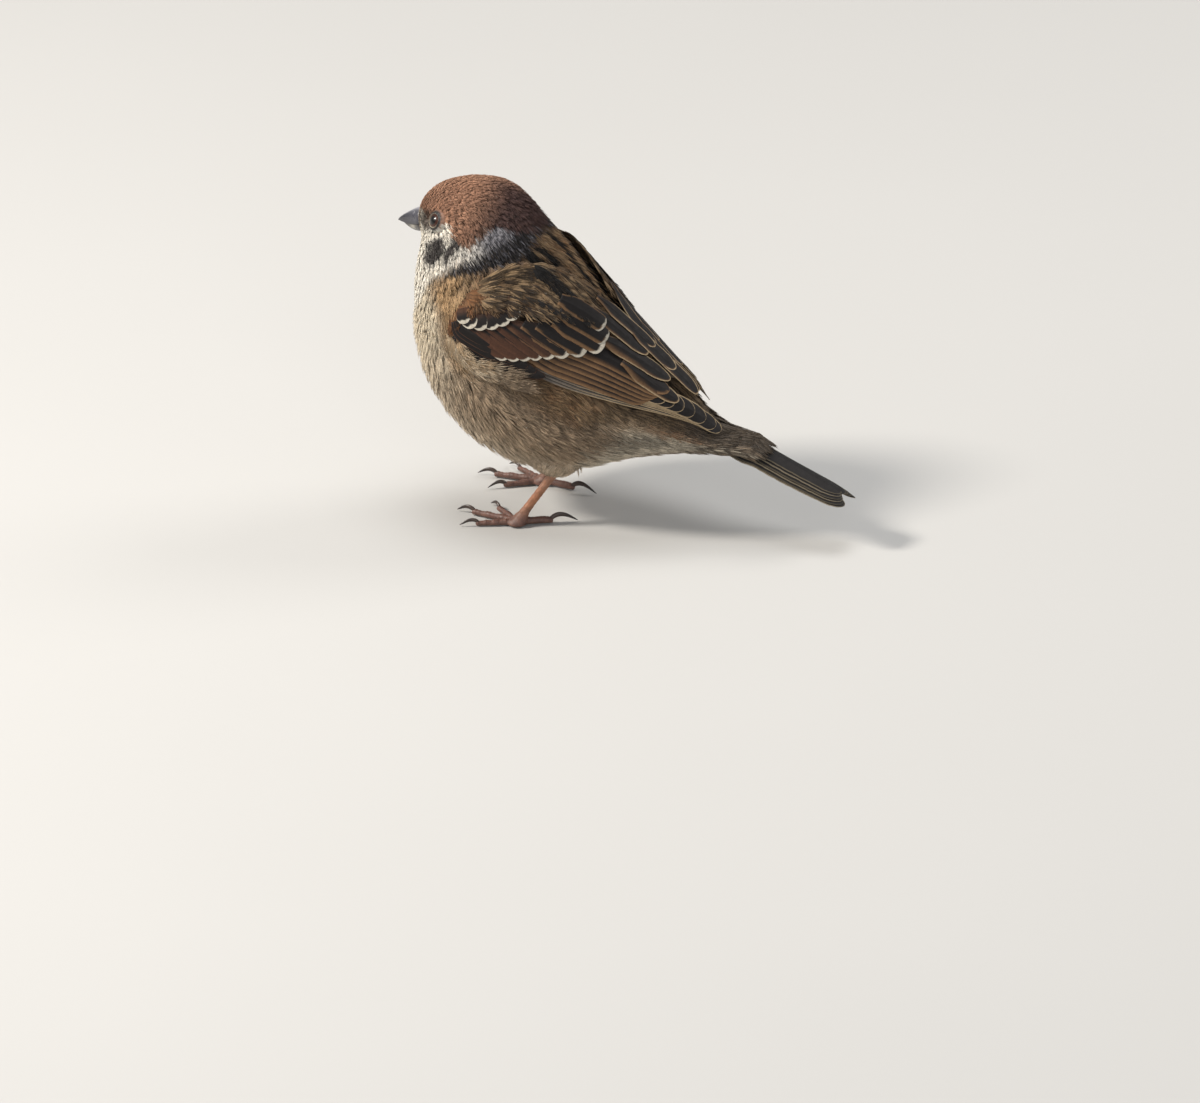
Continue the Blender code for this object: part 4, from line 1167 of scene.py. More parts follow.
def painted(centre, low, low_w, high, high_w, line=None, line_w=0.0, tip=None, tip_len=0.0, base=None, stripe=None,
            deep=None, close=0.25, scallop=False):
    """Paint of a vane: its centre, the fringes of its lower and upper halves, a fine pale rim, its tip and its base.

    deep is the colour that a fringe takes inward; close is how far the
    fringes have narrowed at the tip.
    """

    def paint(a, b, x, rim, to_tip, rng):
        col = np.broadcast_to(centre, a.shape + (3,)) * (1 + 0.12 * np.sin(3 * b)[..., None])
        if base is not None:
            col = mix(col, np.broadcast_to(base, col.shape), 1 - smoothstep((a - 0.15) / 0.5))
        if stripe is not None:
            ink, lo, hi = stripe
            col = mix(col, np.broadcast_to(ink, col.shape), band(b, lo, hi, 0.12))
        shrink = 1 - close * smoothstep((a - 0.30) / 0.6)
        width = np.where(b < 0, low_w, high_w) * shrink
        fringe = np.where((b < 0)[..., None], low, high)
        if deep is not None:
            fringe = mix(fringe, np.broadcast_to(deep, fringe.shape), smoothstep(rim / np.maximum(width, 0.1) - 0.05) * (b < 0))
        col = mix(col, fringe, smoothstep((width - rim) / (0.30 * np.maximum(width, 0.15)) + 0.5))
        if line is not None:
            col = mix(col, np.broadcast_to(line, col.shape), smoothstep((line_w - rim) / (0.5 * line_w) + 0.5) * smoothstep((a - 0.15) / 0.3))
        if tip is not None:
            # a pale end that also runs up the lower edge, or up both edges in a scallop
            by_rim = (0.46 * to_tip + 0.85 * rim) if scallop else np.where(b < 0, 0.36 * to_tip + 0.85 * rim, to_tip)
            near = np.minimum(to_tip, by_rim) + 0.10 * np.sin(7 * b + 6 * rng.random())
            col = mix(col, np.broadcast_to(tip, col.shape), smoothstep((tip_len - near) / (0.35 * tip_len) + 0.5))
        shaft = np.exp(-((b / 0.05) ** 2))[..., None]
        return col * (1 - 0.25 * shaft) * rng.normal(1, 0.05)

    return paint


def cells(count):
    """Places on the bake map for one piece's quills, in rows of four."""
    rows = math.ceil(count / 4)
    return [((k % 4) / 4, (k // 4) / rows, 1 / 4, 1 / rows) for k in range(count)]


WING_WIDTH = spline(np.array([[6.5], [16.7], [21.3], [22.1], [20.5], [16.8], [12.0], [6.5], [2.6]]), np.linspace(0, 8, 101))[:, 0]


def across(s, mm):
    """Share of the wing's width at s that mm make."""
    return mm / np.interp(s, np.linspace(0, 1, 101), WING_WIDTH)


def wing(side):
    sheet = wing_sheets[side]
    quills = []  # start, end, half width, (height at root, at tip), paint, keywords
    I = INK
    r = np.random.default_rng(5 if side == "L" else 6)

    def add(s0, t0, s1, t1, half, h0, h1, paint, **more):
        quills.append(((s0, t0), (s1, t1), half, (h0, h1), paint, more))

    # primaries: outermost first, each next one lies over it; their tips step back
    ends = ((0.958, 0.33, 1.5), (0.982, 0.41, 1.9), (0.997, 0.51, 2.3), (0.964, 0.53, 2.5), (0.908, 0.50, 2.6), (0.856, 0.45, 2.6),
            (0.813, 0.41, 2.5), (0.780, 0.385, 2.4), (0.752, 0.365, 2.3))
    for k, (s1, t1, wide) in enumerate(ends):
        f = k / 8
        if side == "R":  # the far wing is folded a little shorter
            t1 -= 0.22 * smoothstep((s1 - 0.80) / 0.16)
            s1 -= 0.13 * smoothstep((s1 - 0.78) / 0.2)
        t0 = 0.03 + 0.030 * k + across(0.34, 1.2)
        edge = I["grey_edge"] if k < 3 else I["panel"]
        paint = painted(I["quill"], edge, 0.50 if k < 3 else 0.44, I["quill"], 0.15, line=I["rim"], line_w=0.20,
                        deep=edge * 0.6, close=0.7)
        add(0.34, t0, s1, t1, wide, 0.25 + 0.055 * k, 0.16 + 0.05 * k, paint, round_tip=0.085, tilt=0.14,
            narrow=0.05, dome=0.06, bow=-0.115 * (1 - f), point=2.0)
    # secondaries: the warm panel in the middle of the wing
    for j in range(6):
        s1 = 0.705 + 0.009 * j
        t1 = 0.20 + 0.072 * j
        paint = painted(I["quill"], I["panel"], 1.05, I["quill"], 0.15, line=I["panel"] * 1.25, line_w=0.14, deep=I["panel_dark"], close=0.30)
        add(0.33, 0.13 + 0.062 * j + across(0.33, 1.9), s1, t1, 2.15, 0.72 + 0.05 * j, 0.54 + 0.05 * j, paint, round_tip=0.10, tilt=0.26)
    # tertials: two staggered rows of broad black feathers with buff rims
    for s0, t0, s1, t1, half, h in (
        (0.60, 0.58, 0.788, 0.47, 2.0, 1.02),
        (0.64, 1.10, 0.838, 1.08, 2.1, 1.10),
        (0.50, 0.72, 0.738, 0.80, 2.2, 1.22),
        (0.56, 1.15, 0.738, 1.10, 2.2, 1.34),
        (0.46, 0.98, 0.648, 0.93, 2.1, 1.46),
        (0.46, 1.18, 0.658, 1.18, 2.0, 1.56),
    ):
        wide = 1.35 if t1 in (0.47, 0.80) else 0.62
        paint = painted(I["quill"], I["panel"], wide, I["panel_dark"], 0.30, line=I["rim"], line_w=0.26, deep=I["panel_dark"], close=0.1 + 0.5 * (wide > 1))
        add(s0, t0, s1, t1, half, h, h - 0.35, paint, round_tip=0.26, tilt=0.22, point=1.9)
    # alula and primary coverts: black, edged with chestnut
    for k in range(4):
        add(0.10 + 0.02 * k, 0.02 + 0.055 * k, 0.438 - 0.035 * k, 0.065 + 0.03 * k, 1.40, 0.9 + 0.07 * k, 1.0 + 0.05 * k,
            painted(I["quill"], I["chestnut"], 0.16, I["quill"], 0.1, line=I["lesser_dark"], line_w=0.08), round_tip=0.22, tilt=0.12)
    for k in range(3):
        add(0.05 + 0.01 * k, 0.16 + 0.06 * k, 0.290 - 0.03 * k, 0.115 + 0.05 * k, 1.45, 1.35 + 0.08 * k, 1.30 + 0.06 * k,
            painted(I["quill"], I["lesser_dark"], 0.12, I["quill"], 0.1), round_tip=0.3, tilt=0.14)
    # greater coverts: chestnut in front, black centres with buff edges behind, blunt white tips
    tips = ((0.300, 0.170), (0.335, 0.200), (0.368, 0.242), (0.402, 0.292), (0.436, 0.350), (0.470, 0.414), (0.506, 0.500),
            (0.540, 0.620), (0.536, 0.745), (0.512, 0.865))
    for k, (s1, t1) in enumerate(tips):
        f = k / 9
        back, up = 0.205 - 0.055 * f, (0.21, 0.21, 0.20, 0.19, 0.17, 0.14, 0.09, 0.06, 0.05, 0.06)[k]
        rear = smoothstep((k - 3.2) / 2.4)
        edge = I["chestnut"] * (1 - rear) + I["panel"] * rear
        inner = I["chestnut"] * (1 - rear) * 0.8 + I["quill"] * rear
        paint = painted(inner, edge, 0.85 - 0.15 * rear, edge * 0.7, 0.25, deep=edge * 0.72, close=0.0,
                        tip=I["bar"] * (0.92 - 0.15 * (k > 7)), tip_len=0.80 + 0.10 * rear - 0.30 * (k > 7), stripe=(I["quill"], -0.20 - 0.25 * rear, 0.15 + 0.45 * rear))
        add(s1 - back, t1 + up, s1, t1, 2.3, 1.42 + 0.035 * k, 1.36 + 0.04 * k, paint, round_tip=0.15, tilt=0.16, base=0.6, point=2.8)
    # median coverts: black with broad white ends that make the first bar
    tips = ((0.126, 0.352), (0.158, 0.334), (0.192, 0.362), (0.224, 0.412), (0.250, 0.484), (0.270, 0.575))
    for k, (s1, t1) in enumerate(tips):
        paint = painted(I["quill"], I["lesser"], 0.12, I["quill"], 0.1, tip=I["bar"] * 0.96, tip_len=0.70, base=I["lesser_dark"], close=0, scallop=True)
        add(s1 - 0.070, t1 + 0.21, s1, t1, 2.05, 1.55, 1.98 + 0.02 * k, paint, round_tip=0.42, tilt=0.08, base=0.75, point=2.2)

    pile = Pile()
    place = cells(len(quills))
    for k, (start, end, half_w, h, paint, more) in enumerate(quills):
        blade(pile, sheet, start, end, half_w, h, place[k], paint, 100 + k + (50 if side == "R" else 0), **more)
    made["quills_" + side] = pile.make("quills_" + side, vane_mat, ("wing_" + side,))


for _side in "LR":
    wing(_side)


# lesser coverts and scapulars: soft feathers on the wing's sheet
def wing_soft(side):
    sheet = wing_sheets[side]
    sx = 1 if side == "L" else -1
    r = np.random.default_rng(31 if side == "L" else 32)
    pile = Pile()
    I = INK

    def group(s, t, aim, size, half_w, barbs, main, shaft, shaft_w, tip, seed, rise, lift=0.0, loose=0.06, shift=0.0, fat=1.2):
        n = len(s)
        p = sheet.read(s, t)[0]
        q = sheet.read(s + aim[0], t + aim[1])[0]
        ink = {"main": main, "root": main * 0.5, "shaft": shaft, "shaft_w": shaft_w, "tip": tip, "tip_w": np.full(n, 0.2), "shift": shift}
        fans(pile, sheet, s, t, unit(q - p) + r.normal(0, 0.05, (n, 3)), size, half_w, barbs, ink, seed, rise=rise, lift=lift,
             loose=loose, fat=fat, uv=(0.02 + 0.9 * s, (t - WING_T[0]) / (WING_T[1] - WING_T[0]) * 0.95))

    def many(rows, per_row, s_at, t_at, jitter):
        s, t = [], []
        for i in range(rows):
            for k in range(per_row(i)):
                f = (k + 0.5 * (i % 2)) / per_row(i)
                s.append(s_at(i, f))
                t.append(t_at(i, f))
        s, t = np.array(s), np.array(t)
        return s + r.normal(0, jitter, len(s)), t + r.normal(0, jitter * 2, len(t))

    # lesser coverts in rows from the wrist up to the shoulder; they stop short of the first white bar
    s, t = many(11, lambda i: 15, lambda i, f: 0.005 + 0.020 * i * (0.4 + f) + 0.13 * f, lambda i, f: 1.00 - 0.050 * i * (1 - 0.2 * f) - 0.26 * (1 - f) * (i / 11) + 0.02 * f, 0.006)
    bar = np.interp(s + 0.04, (0.05, 0.10, 0.15, 0.20, 0.24, 0.27, 0.30), (0.36, 0.35, 0.34, 0.38, 0.47, 0.59, 0.70))
    stay = t - 0.13 > bar + 0.15 + 0.06 * np.sin(60 * s)
    s, t = s[stay], t[stay]
    n = len(s)
    warm = smoothstep((0.15 - s) / 0.12 + 0.1) * smoothstep((t - 0.40) / 0.2)
    main = mix(np.broadcast_to(I["mantle"] * 0.8, (n, 3)), np.broadcast_to(I["lesser"], (n, 3)), warm * r.uniform(0.45, 1, n))
    dull = 0.35 * r.random(n) + 0.65 * r.random(n) * (1 - warm)
    group(s, t, (0.05, -0.16), r.uniform(3.0, 3.9, n), np.full(n, 1.15), 11, main, mix(main * 0.5, np.broadcast_to(I["streak"], (n, 3)), 0.8 * dull), 0.2 + 0.3 * dull, np.clip(main * 1.2, 0, 1), 33, (0.75, 1.08), loose=0.07)
    # scapulars: long buff feathers that hang over the wing's upper edge, darker in their middles
    s, t = many(8, lambda i: 15, lambda i, f: 0.03 + 0.012 * i + 0.45 * f, lambda i, f: 1.27 - 0.078 * i, 0.008)
    low = np.interp(s + 0.087, (0.15, 0.20, 0.27, 0.39, 0.44, 0.50, 0.56, 0.62), (0.66, 0.64, 0.62, 0.60, 0.66, 0.82, 1.0, 1.2))
    stay = t - 0.087 > low
    s, t = s[stay], t[stay]
    n = len(s)
    on = smoothstep((1.12 - t) / 0.2)[:, None, None]
    pale = r.random(n)
    main = mix(np.broadcast_to(I["mantle"] * 0.48, (n, 3)), np.broadcast_to(I["mantle_pale"] * 0.80, (n, 3)), pale**1.4)
    group(s, t, (0.10, -0.10), r.uniform(5.4, 6.8, n), np.full(n, 1.7), 13, main, mix(main * 0.5, np.broadcast_to(I["streak"], (n, 3)), 0.7), 0.20 + 0.38 * r.random(n), np.clip(main * 1.12, 0, 1), 34,
          (0.55 + 0.35 * on, 1.10 + 0.30 * on), loose=0.05, fat=1.35)
    # the long black streak down the scapulars, and a broken one below it
    f = np.repeat(np.linspace(0, 1, 13), 2)
    n = len(f)
    s = 0.245 + 0.195 * f + r.normal(0, 0.003, n)
    t = 1.225 - 0.330 * f + np.tile([0.028, -0.028], 13)
    dark = np.broadcast_to(I["streak"], (n, 3))
    tips = mix(dark, np.broadcast_to(I["mantle_pale"], (n, 3)), np.where(f > 0.9, 0.5, 0.12))
    group(s, t, (0.055, -0.115), np.full(n, 4.6), np.full(n, 0.85), 9, dark, dark * 0.8, np.full(n, 0.2), tips, 36, (1.1, 1.62), loose=0.03, fat=1.5)
    f = np.linspace(0, 1, 5)
    n = len(f)
    s, t = 0.30 + 0.10 * f, 0.86 - 0.10 * f
    dark = np.broadcast_to(I["streak"], (n, 3))
    group(s, t, (0.06, -0.09), np.full(n, 3.4), np.full(n, 0.6), 9, dark * 1.4, dark, np.full(n, 0.2), np.broadcast_to(I["mantle"], (n, 3)), 37, (1.1, 1.52), loose=0.04, fat=1.4)
    # small feathers that close the wing's leading edge
    s = r.uniform(0.0, 0.06, 60)
    t = r.uniform(-0.02, 1.0, 60)
    main = np.broadcast_to(I["lesser"], (60, 3)) * r.uniform(0.5, 1.0, (60, 1))
    group(s, t, (0.06, -0.10), r.uniform(2.6, 3.6, 60), np.full(60, 1.0), 11, main, main * 0.6, np.full(60, 0.2), main, 35, (0.3, 1.0))
    made["coverts_" + side] = pile.make("coverts_" + side, soft_mat)


for _side in "LR":
    wing_soft(_side)


# wisps of the breast side and flank that lie over the wing's lower front edge
def wisps(side):
    sheet = wing_sheets[side]
    r = np.random.default_rng(41 if side == "L" else 42)
    n = 170
    s = np.sort(r.uniform(0.0, 0.40, n) ** 1.1)
    t = -0.13 + 0.045 * r.normal(0, 1, n) + 0.03 * np.sin(s * 30)
    p, _, _, _, _ = sheet.read(s, t)
    q, _, _, _, _ = sheet.read(s + 0.12, t + 0.07)
    c = mix(np.broadcast_to(INK["cream"], (n, 3)), np.broadcast_to(INK["wash"], (n, 3)), r.random(n) * 0.8)
    c = mix(c, np.broadcast_to(INK["flank"] * 0.72, (n, 3)), smoothstep((s - 0.10) / 0.22))
    c = c * 0.92
    ink = {"main": c, "root": c * 0.7, "shaft": c * 0.8, "shaft_w": np.full(n, 0.12), "tip": np.clip(c * 1.15, 0, 1), "tip_w": np.full(n, 0.25)}
    pile = Pile()
    fans(pile, sheet, s, t, unit(q - p) + r.normal(0, 0.10, (n, 3)), r.uniform(6.0, 9.5, n) * (1 - 0.30 * s / 0.46), np.full(n, 1.5), 15, ink, 43,
         rise=(0.0, 1.0), lift=0.03 + 0.07 * r.random(n), loose=0.16, ragged=0.42, curl=0.5, fat=0.62,
         uv=(0.02 + 0.9 * s, (t - WING_T[0]) / (WING_T[1] - WING_T[0]) * 0.95))
    # feathers of the neck and breast side that lap over the wing's front and upper edge
    sx = 1 if side == "L" else -1
    fs, ft = np.meshgrid(np.linspace(0.0, 0.03, 3), np.linspace(0.0, 1.1, 16), indexing="ij")
    gs, gt = np.meshgrid(np.linspace(0.0, 0.30, 18), [1.05, 1.15], indexing="ij")
    front = sheet.read(np.concatenate([fs.ravel(), gs.ravel()]), np.concatenate([ft.ravel(), gt.ravel()]))[0]
    tree = kdtree.KDTree(len(front))
    for i, x in enumerate(front):
        tree.insert(x, i)
    tree.balance()
    near = np.array([tree.find(x)[2] for x in root_p])
    pick = (near < 3.6) & (near > 0.6) & (root_p[:, 0] * sx > 0) & (root_u < 9.4) & (root_w > 30)
    a, b, w = root_u[pick], root_v[pick], root_w[pick]
    m = len(a)

    def shade(x, y):
        return inks(x, degrees_from_back(y), 47)

    fans(pile, body_sheet, a, b, unit(root_su[pick]) + r.normal(0, 0.06, (m, 3)), r.uniform(4.6, 6.2, m), np.full(m, 1.25), 13, shade, 46,
         rise=(0.5, 1.0), lift=0.30 + 0.10 * r.random(m), loose=0.08, ragged=0.3, fat=1.1)
    # and loose feathers below the wing's front edge that sweep back and up over it
    es = np.linspace(0.0, 0.42, 26)
    edge_p = sheet.read(es, np.full(26, -0.05))[0]
    tree = kdtree.KDTree(26)
    for i, x in enumerate(edge_p):
        tree.insert(x, i)
    tree.balance()
    found = [tree.find(x) for x in root_p]
    near = np.array([x[2] for x in found])
    at = np.array([x[1] for x in found])
    back = sheet.read(es + 0.12, np.full(26, 0.03))[0] - edge_p
    pick = (near < 7.0) & (root_w > 70) & (root_p[:, 0] * sx > 0) & (root_u < 11)
    m = pick.sum()
    fans(pile, body_sheet, root_u[pick], root_v[pick], unit(back[at[pick]]) + 0.35 * unit(root_su[pick]) + r.normal(0, 0.10, (m, 3)), r.uniform(6.0, 9.0, m),
         np.full(m, 1.4), 13, shade, 48, rise=(0.5, 1.0), lift=0.04 + 0.10 * r.random(m), loose=0.14, ragged=0.42, curl=0.4, fat=0.7)
    made["coat_wisps_" + side] = pile.make("coat_wisps_" + side, soft_mat)


for _side in "LR":
    wisps(_side)


# ---- tail: twelve quills on a flat sheet of their own, in mm along and across


def tail():
    along, up = tail_frame()
    ya = np.linspace(-6, 34, 41)[:, None]
    xa = np.linspace(-8, 8, 33)[None, :]
    p = np.array([0.0, *TAIL_START]) + ya[..., None] * along + 0 * xa[..., None]
    # folded like a roof, steeper where the tail leaves the coverts
    drop = 3.4 - 2.0 * smoothstep((ya - 8) / 18)
    p = p + (0.75 * smoothstep((ya + 1.5) / 5) - 0.25 * smoothstep((ya - 12) / 14) - drop * (xa / 5.5) ** 2)[..., None] * up
    p[..., 0] = xa
    sheet = Sheet(-6, 34, -8, 8, p, lambda q: up, np.ones((41, 33)))
    pile = Pile()
    place = cells(12)
    k = 0
    for pair in range(6):  # outermost pair first, at the bottom of the stack
        f = pair / 5
        for sx in (1, -1):
            x_tip = sx * (3.0, 2.72, 2.10, 1.72, 1.02, 0.42)[pair]
            reach = TAIL_LENGTH - TAIL_NOTCH * f**0.8 - 0.1 - 0.9 * (sx > 0)
            edge = INK["tail_edge"] * (1.0, 0.35, 0.8, 0.3, 0.7, 0.45)[pair]
            inner = painted(INK["tail"], edge, 0.22, edge, 0.22, line=edge * 1.2, line_w=0.14, base=INK["tail"] * 0.8)
            blade(pile, sheet, (-5.6, x_tip * 1.04), (reach, x_tip), 2.5, (-0.55 + 0.19 * pair, -0.42 + 0.15 * pair), place[k], inner,
                  200 + k, tilt=-0.10 * sx, round_tip=0.17, base=0.92, point=2.2, dome=0.10, thick=0.09)
            k += 1
    made["quills_tail"] = pile.make("quills_tail", vane_mat, ("tail",))


tail()

# ---- skin: one surface for head, body, thighs and legs, under the coat


def grid_faces(m, n, wrap=True):
    i = np.arange(m - 1)[:, None] * n
    j = np.arange(n if wrap else n - 1)[None, :]
    k = (j + 1) % n
    return np.stack([i + j, i + k, i + n + k, i + n + j], -1).reshape(-1, 4)


def closed_tube(rings, tip=None):
    """Points and faces of rings joined and closed at both ends."""
    m, n = rings.shape[:2]
    v = np.concatenate([rings.reshape(-1, 3), [rings[0].mean(0)], [rings[-1].mean(0) if tip is None else tip]])
    faces = grid_faces(m, n).tolist()
    for j in range(n):
        k = (j + 1) % n
        faces.append((m * n, k, j))
        faces.append((m * n + 1, (m - 1) * n + j, (m - 1) * n + k))
    return v, faces


def raw_object(name, v, faces):
    """A working object in mm, its faces turned outward."""
    me = bpy.data.meshes.new(name)
    me.from_pydata(np.asarray(v).tolist(), [], faces)
    bm = bmesh.new()
    bm.from_mesh(me)
    bmesh.ops.recalc_face_normals(bm, faces=bm.faces)
    bm.to_mesh(me)
    bm.free()
    ob = bpy.data.objects.new(name, me)
    bpy.context.scene.collection.objects.link(ob)
    return ob


def applied(ob):
    """Make the modifiers' result the object's own mesh."""
    dg = bpy.context.evaluated_depsgraph_get()
    me = bpy.data.meshes.new_from_object(ob.evaluated_get(dg))
    ob.modifiers.clear()
    old = ob.data
    ob.data = me
    bpy.data.meshes.remove(old)


def joined(name, parts):
    """Several working objects as one mesh."""
    bm = bmesh.new()
    for o in parts:
        bm.from_mesh(o.data)
    me = bpy.data.meshes.new(name)
    bm.to_mesh(me)
    bm.free()
    for o in parts:
        old = o.data
        bpy.data.objects.remove(o)
        bpy.data.meshes.remove(old)
    ob = bpy.data.objects.new(name, me)
    bpy.context.scene.collection.objects.link(ob)
    return ob


def combine(ob, other, operation):
    mod = ob.modifiers.new("join", "BOOLEAN")
    mod.operation, mod.object = operation, other
    mod.solver = "MANIFOLD"
    count = len(ob.data.polygons)
    dg = bpy.context.evaluated_depsgraph_get()
    dg.update()
    if len(ob.evaluated_get(dg).data.polygons) <= 10:
        mod.solver = "EXACT"
    applied(ob)
    old = other.data
    bpy.data.objects.remove(other)
    bpy.data.meshes.remove(old)
    return count


def toe_line(side, row):
    """Points along the middle of a toe, and its half width and height there."""
    name, bearing, reach, half, claw = row
    d = toe_bearing(side, bearing)
    k = np.linspace(0, 1, 40)
    start = 0.6
    run = start + (reach + 0.25 - start) * k
    joints = {"inner": 2, "middle": 3, "outer": 4, "hind": 1}[name]
    swell = np.cos(k * (joints + 0.5) * 2 * np.pi * 0.9)
    w = half * (1.0 - 0.24 * k) * (1 + 0.09 * swell)
    h = TOE_HEIGHT * (half / 0.84) * (1.02 - 0.27 * k) * (1 + 0.07 * swell)
    c = np.array([*FEET[side], 0.0]) + d * run[:, None]
    return c, d, w, h, swell


def leg(side):
    parts = []
    foot = np.array([*FEET[side], 0.0])
    a = 2 * np.pi * np.arange(28) / 28
    # shank, up into the belly
    z = np.linspace(0.15, 15.2, 90)
    wx = np.interp(z, [0, 0.5, 1.3, 2.2, 3.2, 5.0, 11, 13, 15.2], [1.9, 2.35, 2.1, 1.4, 1.06, 0.93, 0.95, 1.15, 1.5])
    wy = np.interp(z, [0, 0.5, 1.3, 2.2, 3.2, 5.0, 11, 13, 15.2], [2.0, 2.45, 2.3, 1.75, 1.36, 1.20, 1.20, 1.5, 1.9])
    rings = []
    for zz, x, y in zip(z, wx, wy):
        c = shank_point(side, max(zz, 0.8))
        # narrower behind than in front, as a shank is
        back = np.where(np.sin(a) > 0, 0.93, 1.0)
        rings.append(np.stack([c[0] + x * np.cos(a) * (1 - 0.10 * np.sin(a)), c[1] + y * np.sin(a) * back, np.full(28, zz)], -1))
    parts.append(raw_object("shank", *closed_tube(np.array(rings))))
    for row in TOES[side]:
        c, d, w, h, swell = toe_line(side, row)
        side_dir = np.array([-d[1], d[0], 0.0])
        rings = []
        for i in range(len(c)):
            mid = 0.47 * h[i]
            up = np.cos(a)
            zz = mid + np.where(up > 0, (h[i] - mid) * up, mid * up * (1.0 + 0.0 * swell[i]))
            zz = np.maximum(zz, 0.02)
            rings.append(np.stack([c[i][0] + side_dir[0] * w[i] * np.sin(a), c[i][1] + side_dir[1] * w[i] * np.sin(a), zz], -1))
        rings = np.array(rings)
        parts.append(raw_object("toe", *closed_tube(rings, tip=c[-1] + d * 0.25 + np.array([0, 0, 0.5 * h[-1]]))))
    ob = joined("leg_" + side, parts)
    mod = ob.modifiers.new("skin", "REMESH")
    mod.mode, mod.voxel_size = "VOXEL", 0.15
    mod = ob.modifiers.new("soften", "SMOOTH")
    mod.factor, mod.iterations = 0.5, 4
    applied(ob)
    # scales: overlapping plates down the shank and along the toes
    n = len(ob.data.vertices)
    v = np.empty(n * 3, np.float32)
    ob.data.vertices.foreach_get("co", v)
    v = v.reshape(-1, 3).astype(float)
    nor = np.empty(n * 3, np.float32)
    ob.data.vertices.foreach_get("normal", nor)
    nor = nor.reshape(-1, 3)
    best = np.full(n, 1e9)
    plate = np.zeros(n)
    top = shank_point(side, 15.4)
    low = shank_point(side, 1.6)
    axis = unit(top - low)
    t = (v - low) @ axis
    radial = v - low - t[:, None] * axis
    dist = np.linalg.norm(radial, axis=-1)
    on = v[:, 2] > 2.3
    ahead = -(unit(radial)[:, 1])
    ang = np.arctan2(radial[:, 0], -radial[:, 1])
    saw = np.mod(t / 1.55 + 0.05 * np.sin(3 * ang), 1.0)
    ridge = np.where(ahead > 0.15, 0.085 * (1 - saw) ** 1.2 - 0.05 * np.exp(-((np.minimum(saw, 1 - saw) / 0.055) ** 2)), 0.02 * np.sin(t * 5 + 4 * ang))
    plate = np.where(on, ridge, 0)
    for row in TOES[side]:
        c, d, w, h, swell = toe_line(side, row)
        rel = v - c[0]
        along = rel @ d
        off = np.abs(rel @ np.array([-d[1], d[0], 0]))
        inside = (along > 0.4) & (along < np.linalg.norm(c[-1] - c[0]) + 0.6) & (off < w[0] * 1.35) & (v[:, 2] < 2.4) & (off < best)
        best = np.where(inside, off, best)
        saw = np.mod(along / 0.92, 1.0)
        upper = smoothstep((nor[:, 2] - 0.0) / 0.5)
        ridge = 0.07 * (1 - saw) - 0.05 * np.exp(-((np.minimum(saw, 1 - saw) / 0.07) ** 2))
        plate = np.where(inside, ridge * upper, plate)
    v = v + nor * plate[:, None]
    v[:, 2] = np.maximum(v[:, 2], 0.0)
    ob.data.vertices.foreach_set("co", v.astype(np.float32).ravel())
    ob.data.update()
    return ob


def lid(side):
    """Rim of the eye with its folds, run down under the feathers."""
    c, look = EYES[side]
    e1 = unit(np.cross(look, np.array([0, 0, 1.0])))
    e2 = np.cross(look, e1)
    rows = [(1.46, 1.60), (1.50, 2.16), (1.60, 2.30), (1.74, 2.32), (1.86, 2.22), (1.96, 2.08), (2.10, 2.08), (2.24, 1.94), (2.50, 1.64), (2.9, 1.2), (3.0, 0.6), (2.0, 0.4)]
    a = 2 * np.pi * np.arange(96) / 96
    rings = []
    for i, (r, h) in enumerate(rows):
        beads = 0.035 * np.sin(26 * a) * (2 <= i <= 4) + 0.03 * np.sin(17 * a + 1.0) * (6 <= i <= 8)
        # a little wider than high, with a faint corner front and rear
        rr = r * (1 + 0.035 * np.cos(2 * a)) + beads
        rings.append(c + look * (h + 0.5 * beads)[:, None] + e1 * (rr * np.cos(a))[:, None] + e2 * (rr * np.sin(a))[:, None])
    rings = np.array(rings)
    m, n = rings.shape[:2]
    v = rings.reshape(-1, 3)
    faces = grid_faces(m, n).tolist()
    for j in range(n):
        k = (j + 1) % n
        faces.append(((m - 1) * n + j, (m - 1) * n + k, k, j))
    return raw_object("lid", v, faces)


def ball_mesh(c, r, rings=24, around=40):
    rows = []
    for i in range(1, rings):
        f = math.pi * i / rings
        a = 2 * np.pi * np.arange(around) / around
        rows.append(np.stack([c[0] + r * math.sin(f) * np.cos(a), c[1] + r * math.sin(f) * np.sin(a), np.full(around, c[2] + r * math.cos(f))], -1))
    return raw_object("ball", *closed_tube(np.array(rows)))


